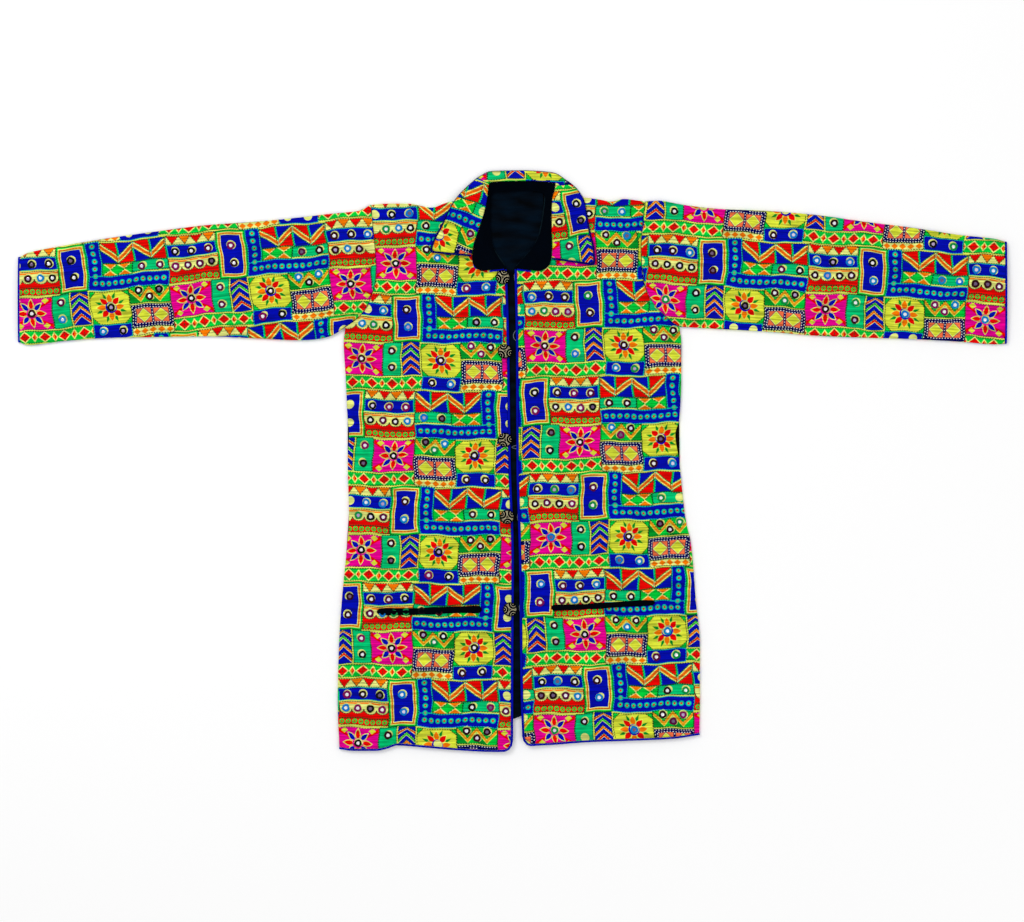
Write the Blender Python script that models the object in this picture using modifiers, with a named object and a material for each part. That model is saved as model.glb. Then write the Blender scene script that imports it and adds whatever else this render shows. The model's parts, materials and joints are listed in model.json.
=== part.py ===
# Long blazer laid flat, front side up, open down the middle over a black back lining.
# Objects are in metres. Sizes and tables below are in millimetres and are scaled by MM.
# +Z is up from the table, +Y is toward the collar, +X is the wearer's left.
# Left and right in names are the wearer's.

import math

import bpy
import numpy as np

MM = 0.001

# Cloth
CLOTH = 2.0
LINING = 1.0
STAND = 1.4
WELT = 1.3
SEAM = 0.3

# Heights of the layers above the table
LINING_UNDER = CLOTH + SEAM
FRONT_UNDER = LINING_UNDER + LINING + SEAM
SIDE_UNDER = CLOTH + SEAM
EDGE_LIFT = 1.7
EDGE_LIFT_REACH = 34.0
SIDE_FALL = 22.0
SHOULDER_FALL = 16.0

# Bindings
FRONT_BINDING = 3.3
HEM_BINDING = 2.6
CUFF_BINDING = 3.0
COLLAR_BINDING = 2.6
NECK_PIPING = 2.6
BINDING_CLOTH = 2.3
FRONT_CORNER = 13.0

# Sleeves, pressed flat
SLEEVE_CROWN = 3.0
SLEEVE_FOLD_POINTS = 3
SLEEVE_RINGS = 18
CUFF_TURN = 0.02
CUFF_X = 738.0

# Body grids
FRONT_COLUMNS = 12
BACK_COLUMNS = 13
UNDERARM = 200.0
SHOULDER = 384.0
HEM = -425.0
NECK_BOTTOM = 287.0
BACK_HEM_RISE = 45.0

# Buttons and their loops
BUTTON_DIAMETER = 21.5
BUTTON_HEIGHT = 6.0
BUTTON_SHANK = 7.0
LOOP_CORD = 1.2


def table(columns, *rows):
    """A short table as a dictionary of named columns."""
    return dict(zip(columns.split(), np.array(rows, float).T))


SIDE = table(
    "y right left",
    (-436, -259, 280),
    (-359, -262, 281),
    (-275, -260, 281),
    (-212, -256, 275),
    (-128, -248, 268),
    (-86, -245, 259),
    (-2, -247, 250),
    (40, -245, 244),
    (61, -247, 250),
    (124, -250, 253),
    (178, -253, 253),
    (UNDERARM, -250, 250),
)

# The sleeves' sections have a point at each of these stations
ARMHOLE = table(
    "y right left",
    (UNDERARM, -250, 250),
    (207, -239, 239),
    (217, -228, 228),
    (229, -218.5, 215.5),
    (245, -211.5, 204.5),
    (266, -205.5, 197),
    (292, -204, 193.5),
    (320, -206, 192.5),
    (350, -209, 194.5),
    (SHOULDER, -212, 199),
)
NECK_ROWS = (279, 286, 299, 310, 335, 367)

FRONT_EDGE = table(
    "y right left",
    (-436, 1, 15),
    (-401, 1, 14),
    (-359, 1, 12.5),
    (-149, 2, 9.8),
    (0, -2.8, 5.9),
    (181, -5.2, 5.2),
    (NECK_BOTTOM, -9, 3.2),
    (299, -15, 12),
    (310, -23, 22),
    (323, -30, 33),
    (341, -33, 41),
    (371, -34.5, 47),
    (402, -34.5, 50),
)

SHOULDER_LINE = table(
    "x y",
    (-213, 383),
    (-186, 385),
    (-157, 385),
    (-121, 379),
    (-100, 386),
    (-35, 400),
    (-20, 406),
    (8, 408),
    (36, 406),
    (50, 400),
    (92, 396),
    (131, 391),
    (148, 388),
    (167, 392),
    (185, 390),
    (200, 388),
)

HEM_LINE = table(
    "x y",
    (-262, -432),
    (-238, -435),
    (-205, -435),
    (-186, -431),
    (-175, -427),
    (-120, -431),
    (-84, -434),
    (-30, -436.5),
    (0, -435),
    (20, -428),
    (60, -426),
    (114, -422),
    (200, -419),
    (239, -417),
    (281, -411),
)

SLEEVE_RIGHT = table(
    "x top bottom",
    (-738, 305, 177),
    (-727, 311, 173),
    (-673, 322, 179),
    (-601, 334, 184),
    (-529, 344, 185),
    (-457, 353, 186),
    (-385, 358, 183),
    (-313, 365, 180),
    (-280, 369, 182),
    (-259, 371, 188),
    (-230, 374, 200),
    (-213, 383, 210),
)

SLEEVE_LEFT = table(
    "x top bottom",
    (200, 387, 206),
    (222, 389, 203),
    (240, 386, 201),
    (257, 383, 200),
    (311, 377, 197),
    (383, 374, 193),
    (455, 368, 187),
    (527, 358, 184),
    (599, 349, 182),
    (671, 338, 178),
    (725, 332, 174),
    (738, 328, 175),
)

# Soft folds of the upper cloth, each a ridge: centre, heading in degrees, length, width and height
FOLDS = table(
    "x y heading length width height",
    (-262, 212, 25, 46, 7, 3.6),
    (-246, 232, 40, 52, 8, 2.6),
    (-290, 205, 160, 60, 9, 2.4),
    (-228, 186, 120, 70, 10, 2.2),
    (-330, 250, 12, 120, 16, 1.8),
    (-430, 300, 172, 130, 18, 1.3),
    (-560, 230, 10, 150, 17, 1.5),
    (-660, 280, 175, 110, 16, 1.3),
    (262, 220, 155, 52, 8, 3.0),
    (236, 214, 120, 60, 9, 2.6),
    (300, 235, 170, 90, 13, 1.9),
    (420, 290, 8, 140, 17, 1.5),
    (560, 240, 172, 150, 18, 1.5),
    (668, 270, 6, 110, 16, 1.3),
    (-190, 60, 84, 210, 16, 1.6),
    (-120, -60, 92, 260, 20, 1.2),
    (-215, -190, 80, 220, 17, 1.5),
    (-130, -330, 88, 180, 18, 1.5),
    (-60, -250, 95, 240, 17, 1.0),
    (190, 70, 96, 200, 16, 1.5),
    (130, -30, 86, 260, 20, 1.2),
    (225, -160, 99, 230, 17, 1.6),
    (150, -300, 92, 210, 18, 1.4),
    (70, -220, 87, 240, 17, 1.0),
)

# Wrinkles of the lining that shows in the neck
NECK_WRINKLES = table(
    "x y heading length width height",
    (12, 379, 4, 76, 4.5, 1.4),
    (22, 366, 8, 60, 5.0, 1.8),
    (-14, 356, 170, 44, 5.0, 1.3),
    (10, 346, 2, 64, 5.5, 1.6),
    (-8, 330, 3, 60, 5.0, 1.9),
    (14, 318, 24, 44, 5.0, 1.5),
    (4, 304, 140, 30, 4.5, 1.2),
)

# Collar, from the wearer's right wing round the back of the neck to the left wing.
# The stand runs from the neck seam to the fold, and the fall from the fold to its outer edge.
COLLAR = table(
    "fold_x fold_y fold_z outer_x outer_y outer_z",
    (-61, 305, 9.2, -125, 311, 8.0),
    (-57, 325, 10.6, -118, 331, 7.9),
    (-50, 346, 11.8, -107, 352, 7.6),
    (-42, 370, 12.6, -96, 374, 7.2),
    (-37.5, 391, 13.2, -84, 394, 5.0),
    (-36, 405, 13.4, -68, 411, 2.4),
    (-34.5, 414, 13.4, -48, 427, 1.0),
    (-23, 416.5, 13.4, -31, 434, 0.6),
    (14, 417.5, 13.4, 14, 435, 0.6),
    (53, 416, 13.4, 60, 432, 0.6),
    (64, 414, 13.4, 80, 421, 1.2),
    (63, 405, 13.4, 97, 407, 2.4),
    (59, 391, 13.2, 108, 388, 5.4),
    (58, 370, 12.6, 112, 367, 7.2),
    (58, 345, 11.8, 117, 341, 7.6),
    (59, 321, 10.6, 123, 315, 7.9),
    (58, 301, 9.2, 124, 291, 8.0),
)

STAND_EDGES = table(
    "inner_x inner_y inner_z fold_x fold_y fold_z",
    (-9, 288, 8.0, -36, 285, 8.0),
    (-10.5, 290, 8.0, -46, 283.5, 8.0),
    (-13.5, 293.5, 8.0, -55, 288, 8.0),
    (-17.5, 299, 7.6, -60, 296, 8.4),
    (-22, 306, 7.6, -61, 305, 9.2),
    (-28, 318, 7.2, -57, 325, 10.6),
    (-32, 336, 6.6, -50, 346, 11.8),
    (-33.5, 359, 6.6, -42, 370, 12.6),
    (-33, 384, 6.4, -37.5, 391, 13.2),
    (-31, 397, 5.6, -36, 405, 13.4),
    (-27, 401, 5.0, -34.5, 414, 13.4),
    (-16, 402.5, 4.8, -23, 416.5, 13.4),
    (14, 404, 4.8, 14, 417.5, 13.4),
    (40, 402, 5.0, 53, 416, 13.4),
    (47, 399, 5.6, 64, 414, 13.4),
    (49, 391, 6.0, 63, 405, 13.4),
    (47.5, 377, 6.4, 59, 391, 13.2),
    (45, 360, 6.6, 58, 370, 12.6),
    (41, 341, 6.6, 58, 345, 11.8),
    (32, 322, 7.1, 59, 321, 10.6),
    (22, 309, 7.6, 58, 301, 9.2),
    (13, 299.5, 7.6, 56.5, 294, 8.4),
    (8.5, 294, 8.0, 50, 287, 8.0),
    (5, 290, 8.0, 40, 283.5, 8.0),
    (3, 288, 8.0, 29, 285, 8.0),
)
COLLAR_COLUMNS = 5
COLLAR_END_STEP = 21.0

BUTTONS = table(
    "x y",
    (-14.4, 274),
    (-11.3, 163.2),
    (-11.2, 30.8),
    (-7.8, -84.3),
    (-3.5, -222.8),
)

# How far each loop shows beyond the left front edge, and half its height there
LOOPS = table(
    "y reach spread",
    (275, 0.6, 9.0),
    (187, 3.8, 9.5),
    (20, 6.6, 2.7),
    (-85, 0.6, 9.0),
    (-221, 0.6, 9.0),
)

WELTS = table(
    "inner_x inner_y outer_x outer_y depth",
    (-46, -223, -203, -227, 10.5),
    (58, -221, 213, -213, 8.5),
)

# Colours and finish: red, green, blue, roughness, metallic
FINISHES = {
    "patchwork": (0.36, 0.52, 0.05, 0.75, 0.0),
    "black satin": (0.004, 0.006, 0.012, 0.35, 0.0),
    "royal blue": (0.004, 0.012, 0.45, 0.6, 0.0),
    "button": (0.03, 0.025, 0.015, 0.35, 0.6),
    "loop cord": (0.12, 0.15, 0.28, 0.6, 0.0),
}


def through(stations, values):
    """A smooth curve through the stations of a table, with no overshoot."""
    step = np.diff(stations)
    slope = np.diff(values) / step
    tangent = np.concatenate(([slope[0]], np.zeros(len(slope) - 1), [slope[-1]]))
    for i in range(1, len(slope)):
        if slope[i - 1] * slope[i] > 0:
            tangent[i] = 2 * slope[i - 1] * slope[i] / (slope[i - 1] + slope[i])

    def curve(at):
        at = np.clip(at, stations[0], stations[-1])
        i = np.clip(np.searchsorted(stations, at, side="right") - 1, 0, len(step) - 1)
        s = (at - stations[i]) / step[i]
        ends = values[i] * (1 + 2 * s) * (1 - s) ** 2 + values[i + 1] * s ** 2 * (3 - 2 * s)
        bends = tangent[i] * s * (1 - s) ** 2 + tangent[i + 1] * s ** 2 * (s - 1)
        return ends + step[i] * bends

    return curve


def ease(value):
    """A soft step from 0 to 1."""
    value = np.clip(value, 0, 1)
    return value ** 2 * (3 - 2 * value)


def ridges(folds, x, y):
    """Height of soft folds over a point."""
    total = 0.0 * x
    for i in range(len(folds["x"])):
        heading = math.radians(folds["heading"][i])
        dx = x - folds["x"][i]
        dy = y - folds["y"][i]
        along = dx * math.cos(heading) + dy * math.sin(heading)
        across = dy * math.cos(heading) - dx * math.sin(heading)
        reach = (across / folds["width"][i]) ** 2 + (2 * along / folds["length"][i]) ** 2
        total = total + folds["height"][i] * np.exp(-reach)
    return total


SIDE_X = {"right": through(SIDE["y"], SIDE["right"]), "left": through(SIDE["y"], SIDE["left"])}
FRONT_X = {
    "right": through(FRONT_EDGE["y"], FRONT_EDGE["right"]),
    "left": through(FRONT_EDGE["y"], FRONT_EDGE["left"]),
}
SHOULDER_Y = through(SHOULDER_LINE["x"], SHOULDER_LINE["y"])
HEM_Y = through(HEM_LINE["x"], HEM_LINE["y"])
OUTWARD = {"right": -1, "left": 1}


def outer_x(side, y):
    """The side seam below the underarm, the armhole seam above it."""
    return np.where(y < UNDERARM, SIDE_X[side](y), np.interp(y, ARMHOLE["y"], ARMHOLE[side]))


def back_hem_y(x):
    """The back's hem, which rises toward the centre."""
    half = (SIDE["left"][0] - SIDE["right"][0]) / 2
    middle = (SIDE["left"][0] + SIDE["right"][0]) / 2
    share = np.clip(np.abs(x - middle) / half, 0, 1)
    return HEM_Y(x) + HEM_BINDING + BACK_HEM_RISE * (1 - share ** 6)


def upper_under(x, y):
    """Underside of the upper cloth: the fronts and the sleeves' upper layer."""
    to_side = np.minimum(x - SIDE_X["right"](y), SIDE_X["left"](y) - x)
    to_side = np.where(y < UNDERARM, to_side, SIDE_FALL)
    to_shoulder = SHOULDER_Y(x) - y
    fall = ease(to_side / SIDE_FALL) * ease(to_shoulder / SHOULDER_FALL)
    centre = (FRONT_X["right"](y) + FRONT_X["left"](y)) / 2
    near_edge = 1 - ease((np.abs(x - centre) - EDGE_LIFT_REACH / 2) / EDGE_LIFT_REACH)
    lift = FRONT_UNDER - SIDE_UNDER + EDGE_LIFT * near_edge + ridges(FOLDS, x, y)
    return SIDE_UNDER + lift * fall


def upper_top(x, y):
    """Outer face of the fronts."""
    return upper_under(x, y) + CLOTH


def body_rows():
    """Heights of the body grid's rows, closer together at the corners and the underarm."""
    corner = HEM + FRONT_CORNER * (1 - np.cos(np.linspace(0, math.pi / 2, 4)))
    below = np.linspace(corner[-1], UNDERARM, 22)[1:]
    above = np.sort(np.concatenate((ARMHOLE["y"][1:], NECK_ROWS)))
    return np.concatenate((corner, below, above))


def body_y(x, row, hem):
    """Bends a level row so that the last rows follow the hem and the first the shoulder."""
    to_hem = 1 - ease((row - HEM) / 120)
    to_shoulder = ease((row - SHOULDER + 60) / 60)
    return row + (hem(x) - HEM) * to_hem + (SHOULDER_Y(x) - SHOULDER) * to_shoulder


def front_grid(side):
    """Plan of one front panel, inside its bindings."""
    rows = body_rows()
    inset = FRONT_BINDING + SEAM
    hem_inset = HEM_BINDING + SEAM
    outward = OUTWARD[side]
    plan = np.zeros((len(rows), FRONT_COLUMNS, 2))
    for i, row in enumerate(rows):
        outer = outer_x(side, row)
        edge = FRONT_X[side](min(row, SHOULDER))
        if row < NECK_BOTTOM:
            edge = edge + outward * inset
        up = max(0.0, HEM + FRONT_CORNER - row) / FRONT_CORNER
        edge = edge + outward * (FRONT_CORNER - inset) * (1 - math.sqrt(1 - up ** 2))
        x = np.linspace(edge, outer, FRONT_COLUMNS)
        y = body_y(x, row, lambda at: HEM_Y(at) + hem_inset)
        plan[i] = np.stack((x, y), axis=1)
    return plan


def back_grid():
    """Plan of the back panel, from the wearer's right to the left."""
    rows = np.concatenate((np.linspace(HEM, UNDERARM, 10)[:-1], ARMHOLE["y"]))
    plan = np.zeros((len(rows), BACK_COLUMNS, 2))
    for i, row in enumerate(rows):
        x = np.linspace(outer_x("right", row), outer_x("left", row), BACK_COLUMNS)
        y = body_y(x, row, lambda at: back_hem_y(at) + HEM_BINDING + SEAM)
        plan[i] = np.stack((x, y), axis=1)
    return plan


LINING_EDGE = table(
    "y right left",
    (-436, -234, 255),
    (-86, -219, 233),
    (40, -219, 218),
    (180, -224, 224),
    (206, -198, 198),
    (266, -178, 170),
    (330, -150, 140),
    (348, -60, 70),
    (360, -34, 46),
    (408, -33, 46),
)
LINING_ROWS = (-425, -395, -300, -160, 0, 140, 206, 266, 290, 301, 309, 317, 324, 331,
               338, 345, 352, 359, 366, 373, 380, 389, 397, 405)
NECK_RIGHT = -39.0
NECK_LEFT = 53.0
NECK_COLUMNS = 9


def lining_grid():
    """Plan of the back lining: wide under the fronts, narrowed to the neck at the top."""
    right = through(LINING_EDGE["y"], LINING_EDGE["right"])
    left = through(LINING_EDGE["y"], LINING_EDGE["left"])
    plan = np.zeros((len(LINING_ROWS), NECK_COLUMNS + 2, 2))
    for i, row in enumerate(LINING_ROWS):
        start = float(right(row))
        end = float(left(row))
        neck = np.linspace(max(start + 1, NECK_RIGHT), min(end - 1, NECK_LEFT), NECK_COLUMNS)
        x = np.concatenate(([start], neck, [end]))
        to_hem = 1 - ease((row - HEM) / 120)
        y = row + (back_hem_y(x) - HEM) * to_hem
        plan[i] = np.stack((x, y), axis=1)
    return plan


def lining_under(x, y):
    """Underside of the lining, wrinkled only where the neck shows it."""
    seen = ease((y - 284) / 16) * ease((x - NECK_RIGHT) / 8) * ease((NECK_LEFT - x) / 8)
    return LINING_UNDER + seen * ridges(NECK_WRINKLES, x, y)


def with_height(plan, height):
    """Adds the height of each point of a plan."""
    z = height(plan[..., 0], plan[..., 1])
    return np.concatenate((plan, np.broadcast_to(z, plan.shape[:2])[..., None]), axis=2)


def finish(name):
    """The Principled material of one finish."""
    if name in bpy.data.materials:
        return bpy.data.materials[name]
    red, green, blue, roughness, metallic = FINISHES[name]
    material = bpy.data.materials.new(name)
    material.use_nodes = True
    shader = material.node_tree.nodes["Principled BSDF"]
    shader.inputs["Base Color"].default_value = (red, green, blue, 1)
    shader.inputs["Roughness"].default_value = roughness
    shader.inputs["Metallic"].default_value = metallic
    material.diffuse_color = (red, green, blue, 1)
    return material


def add_object(name, data, finish_name):
    """Puts a mesh or a curve into the coat's collection."""
    data.materials.append(finish(finish_name))
    made = bpy.data.objects.new(name, data)
    bpy.data.collections["long_blazer"].objects.link(made)
    return made


def mesh_object(name, points, faces, finish_name):
    """A smooth-shaded mesh from points in millimetres."""
    mesh = bpy.data.meshes.new(name)
    mesh.from_pydata((np.asarray(points).reshape(-1, 3) * MM).tolist(), [], faces)
    mesh.shade_smooth()
    mesh.set_sharp_from_angle(angle=math.radians(50))
    return add_object(name, mesh, finish_name)


def grid_faces(rows, columns, flip=False, closed=False):
    """Quads over a grid of points; a closed grid joins its last column to its first."""
    faces = []
    for r in range(rows - 1):
        for c in range(columns if closed else columns - 1):
            right = (c + 1) % columns
            face = (r * columns + c, r * columns + right, (r + 1) * columns + right, (r + 1) * columns + c)
            faces.append(face[::-1] if flip else face)
    return faces


def cloth_piece(name, grid, thickness, finish_name):
    """An open surface, which is the underside of the cloth, thickened upward."""
    up = grid[1:, 1:, :2] - grid[:-1, :-1, :2]
    down = grid[1:, :-1, :2] - grid[:-1, 1:, :2]
    flip = np.sum(down[..., 1] * up[..., 0] - down[..., 0] * up[..., 1]) < 0
    made = mesh_object(name, grid, grid_faces(*grid.shape[:2], flip=flip), finish_name)
    wall = made.modifiers.new("wall", "SOLIDIFY")
    wall.thickness = thickness * MM
    wall.offset = 1
    wall.use_even_offset = True
    return made


def make_back():
    plan = back_grid()
    cloth_piece("back", with_height(plan, lambda x, y: 0.0), CLOTH, "patchwork")
    inner = plan[0] - (0, SEAM)
    outer = inner - (0, HEM_BINDING)
    strip = with_height(np.stack((outer, inner)), lambda x, y: 0.0)
    cloth_piece("back_binding", strip, CLOTH, "royal blue")


def make_lining():
    cloth_piece("back_lining", with_height(lining_grid(), lining_under), LINING, "black satin")


def make_front(side):
    cloth_piece("front_" + side, with_height(front_grid(side), upper_under), CLOTH, "patchwork")


def make_front_binding(side):
    """One strip down the front edge, round the corner and along the hem, just off the panel's edge."""
    plan = front_grid(side)
    below_neck = body_rows() < NECK_BOTTOM
    down = plan[below_neck, 0][::-1]
    panel_edge = np.concatenate((down, plan[0, 1:]))
    ahead = np.diff(panel_edge, axis=0, append=panel_edge[-1:])
    ahead[-1] = ahead[-2]
    behind = np.diff(panel_edge, axis=0, prepend=panel_edge[:1])
    behind[0] = ahead[0]
    ahead = ahead / np.linalg.norm(ahead, axis=1)[:, None]
    behind = behind / np.linalg.norm(behind, axis=1)[:, None]
    normal = np.stack((ahead[:, 1] + behind[:, 1], -ahead[:, 0] - behind[:, 0]), axis=1) * OUTWARD[side]
    normal = 2 * normal / np.sum(normal ** 2, axis=1)[:, None]
    corner = len(down) - 1
    width = np.interp(np.arange(len(panel_edge)), (corner - 3, corner + 1), (FRONT_BINDING, HEM_BINDING))
    heights = upper_under(panel_edge[:, 0], panel_edge[:, 1])
    strip = np.zeros((len(panel_edge), 3, 3))
    for column, share in enumerate((1.0, 0.5, 0.0)):
        strip[:, column, :2] = panel_edge + normal * (SEAM + width * share)[:, None]
        strip[:, column, 2] = heights
    cloth_piece("front_binding_" + side, strip, BINDING_CLOTH, "royal blue")


def armhole_points(side):
    """The armhole seam from the shoulder to the underarm, moved just off the body."""
    y = ARMHOLE["y"][::-1]
    x = ARMHOLE[side][::-1]
    return np.stack((x + OUTWARD[side] * 1.8 * SEAM, body_y(x, y, HEM_Y) + 1.4 * SEAM), axis=1)


def run_shares(points):
    """How far along a chain of points each lies, from 0 to 1."""
    run = np.concatenate(([0], np.cumsum(np.linalg.norm(np.diff(points, axis=0), axis=1))))
    return run / run[-1]


def sleeve_plan(side):
    """Returns a function from (along, across) to the plan: along 0 at the cuff, 1 at the armhole."""
    edges = SLEEVE_RIGHT if side == "right" else SLEEVE_LEFT
    top = through(edges["x"], edges["top"])
    bottom = through(edges["x"], edges["bottom"])
    cuff = OUTWARD[side] * CUFF_X
    hole = armhole_points(side)
    run = run_shares(hole)

    def edge_point(curve, end, along):
        x = cuff + (end[0] - cuff) * along
        shift = (end[1] - curve(end[0])) * along ** 24
        return np.array((x, curve(x) + shift))

    def plan(along, across):
        upper = edge_point(top, hole[0], along)
        lower = edge_point(bottom, hole[-1], along)
        cuff_top = edge_point(top, hole[0], 0.0)
        cuff_bottom = edge_point(bottom, hole[-1], 0.0)
        cuff_point = cuff_top + (cuff_bottom - cuff_top) * across
        hole_point = np.array((np.interp(across, run, hole[:, 0]), np.interp(across, run, hole[:, 1])))
        edge_blend = upper * (1 - across) + lower * across
        end_blend = cuff_point * (1 - along) + hole_point * along
        corners = (cuff_top * (1 - across) + cuff_bottom * across) * (1 - along)
        corners = corners + (hole[0] * (1 - across) + hole[-1] * across) * along
        return edge_blend + end_blend - corners

    return plan


def sleeve_ring(side, along, shift, wall):
    """One section of a flattened tube; wall 0 gives its outer face, CLOTH its inner face."""
    plan = sleeve_plan(side)
    width = np.linalg.norm(plan(along, 0.0) - plan(along, 1.0))
    radius = CLOTH + SEAM
    margin = radius / width
    small = radius - wall
    points = []

    def add(across, z):
        x, y = plan(along, across)
        points.append((x + shift, y, z))

    stations = run_shares(armhole_points(side))
    stations[0] = margin
    stations[-1] = 1 - margin
    turns = np.linspace(0, math.pi, SLEEVE_FOLD_POINTS + 2)[1:-1]
    for across in stations:
        add(across, wall)
    for turn in turns:
        add(1 - margin + margin * small / radius * math.sin(turn), radius - small * math.cos(turn))
    for across in stations[::-1]:
        share = (across - margin) / (1 - 2 * margin)
        crown = SLEEVE_CROWN * np.clip(math.sin(math.pi * share), 0, 1) ** 0.7
        x, y = plan(along, across)
        fold = ridges(FOLDS, x, y) * ease(min(share, 1 - share) / 0.15)
        add(across, 2 * radius - wall + crown + fold)
    for turn in turns:
        add(margin - margin * small / radius * math.sin(turn), radius + small * math.cos(turn))
    return points


def tube(name, outer, inner, finish_name):
    """A closed wall between outer and inner rings, open at both ends."""
    outer = np.array(outer)
    inner = np.array(inner)
    rings, around = outer.shape[:2]
    count = rings * around
    outer_faces = grid_faces(rings, around, closed=True)
    inner_faces = [tuple(i + count for i in face[::-1]) for face in outer_faces]
    ends = []
    for c in range(around):
        right = (c + 1) % around
        last = (rings - 1) * around
        ends.append((right, c, count + c, count + right))
        ends.append((last + c, last + right, count + last + right, count + last + c))
    faces = outer_faces + inner_faces + ends
    points = np.concatenate((outer.reshape(-1, 3), inner.reshape(-1, 3)))
    edge_in = outer[1, 0] - outer[0, 0]
    edge_round = outer[0, 1] - outer[0, 0]
    if edge_round[0] * edge_in[1] - edge_round[1] * edge_in[0] > 0:
        faces = [face[::-1] for face in faces]
    return mesh_object(name, points, faces, finish_name)


def sleeve_tube(name, side, sections, finish_name):
    """A flattened tube through sections, each (along, shift)."""
    outer = [sleeve_ring(side, along, shift, 0.0) for along, shift in sections]
    inner = [sleeve_ring(side, along, shift, CLOTH) for along, shift in sections]
    tube(name, outer, inner, finish_name)


def make_sleeve(side):
    steps = np.concatenate(([0.0], np.linspace(CUFF_TURN, 1, SLEEVE_RINGS) ** 0.9))
    sleeve_tube("sleeve_" + side, side, [(along, 0.0) for along in steps], "patchwork")
    outward = OUTWARD[side]
    cuff = [(0.0, outward * SEAM), (0.0, outward * CUFF_BINDING)]
    sleeve_tube("cuff_binding_" + side, side, cuff, "royal blue")


def collar_point(share, across):
    """A point of the collar's underside: share along it, across 0 at the fold and 1 at the outer edge."""
    stations = np.arange(len(COLLAR["fold_x"]), dtype=float)
    at = share * stations[-1]
    fold = np.array([np.interp(at, stations, COLLAR["fold_" + axis]) for axis in "xyz"])
    outer = np.array([np.interp(at, stations, COLLAR["outer_" + axis]) for axis in "xyz"])
    point = fold + (outer - fold) * across
    point[2] = fold[2] + (outer[2] - fold[2]) * across ** 1.6
    return point


def collar_inset(share):
    """How far across the fall ends, to leave the outer edge to the binding."""
    width = np.linalg.norm(collar_point(share, 1.0) - collar_point(share, 0.0))
    return 1 - (COLLAR_BINDING + SEAM) / width


def make_collar():
    rows = len(COLLAR["fold_x"])
    end_inset = (COLLAR_BINDING + SEAM) / COLLAR_END_STEP / (rows - 1)
    shares = np.arange(rows, dtype=float) / (rows - 1)
    shares[0] = end_inset
    shares[-1] = 1 - end_inset
    start = 0.012
    grid = np.array([
        [collar_point(share, start + (collar_inset(share) - start) * c / (COLLAR_COLUMNS - 1))
         for c in range(COLLAR_COLUMNS)]
        for share in shares
    ])
    cloth_piece("collar", grid, CLOTH, "patchwork")
    make_collar_binding(end_inset, shares[1:-1])


def make_collar_binding(end_inset, shares):
    """A strip round the collar's two ends and outer edge."""
    gap = SEAM / (COLLAR_BINDING + SEAM)
    end = end_inset * (1 - gap)
    outer = []
    inner = []

    def add(share, across, inner_share, inner_across):
        outer.append(collar_point(share, across))
        inner.append(collar_point(inner_share, inner_across))

    def inner_across(share):
        return 1 - (1 - collar_inset(share)) * (1 - gap)

    last = inner_across(0.0)
    for across in (0.02, 0.3, 0.6, 0.85):
        add(0.0, across, end, min(across, last))
    add(0.0, 1.0, end, last)
    for share in shares:
        add(share, 1.0, share, inner_across(share))
    last = inner_across(1.0)
    add(1.0, 1.0, 1 - end, last)
    for across in (0.85, 0.6, 0.3, 0.02):
        add(1.0, across, 1 - end, min(across, last))
    strip = np.stack((np.array(outer), np.array(inner)), axis=1)
    cloth_piece("collar_binding", strip, BINDING_CLOTH, "royal blue")


def make_stand():
    """The black ring between the neck seam and the collar's fold."""
    fold = np.stack([STAND_EDGES["fold_" + axis] for axis in "xyz"], axis=1)
    inner = np.stack([STAND_EDGES["inner_" + axis] for axis in "xyz"], axis=1)
    shares = (0.0, 0.33, 0.66, 0.97)
    grid = np.stack([inner + (fold - inner) * share for share in shares], axis=1)
    cloth_piece("collar_stand", grid, STAND, "black satin")


def make_neck_piping():
    """Short strips on the fronts, along the lower edges of the stand's front ends."""
    for side, row in (("right", 0), ("left", -1)):
        inner = np.array((STAND_EDGES["inner_x"][row], STAND_EDGES["inner_y"][row]))
        fold = np.array((STAND_EDGES["fold_x"][row], STAND_EDGES["fold_y"][row]))
        high = inner + (fold - inner) * np.linspace(0.15, 0.95, 5)[:, None] - (0, 2 * SEAM)
        plan = np.stack((high - (0, NECK_PIPING), high))
        strip = with_height(plan, lambda x, y: upper_top(x, y) + 2 * SEAM)
        cloth_piece("neck_piping_" + side, strip, LINING, "royal blue")


def make_welts():
    for side, row in (("right", 0), ("left", 1)):
        start = np.array((WELTS["inner_x"][row], WELTS["inner_y"][row]))
        end = np.array((WELTS["outer_x"][row], WELTS["outer_y"][row]))
        depth = WELTS["depth"][row]
        line = start + (end - start) * np.linspace(0, 1, 12)[:, None]
        pinch = np.ones(12)
        pinch[[0, -1]] = 0.55
        rise = np.array((0.0, depth / 2)) * pinch[:, None]
        plan = np.stack((line - rise, line + rise))
        strip = with_height(plan, lambda x, y: upper_top(x, y) + 2 * SEAM)
        cloth_piece("pocket_welt_" + side, strip, WELT, "black satin")


BUTTON_PROFILE = table(
    "radius height",
    (0.0, 0.0),
    (BUTTON_SHANK / 2, 0.0),
    (BUTTON_SHANK / 2, 1.6),
    (BUTTON_DIAMETER / 2 - 0.9, 1.6),
    (BUTTON_DIAMETER / 2, 2.3),
    (BUTTON_DIAMETER / 2 - 1.4, 3.7),
    (BUTTON_DIAMETER / 2 - 5.5, 5.2),
    (0.0, BUTTON_HEIGHT),
)


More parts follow.
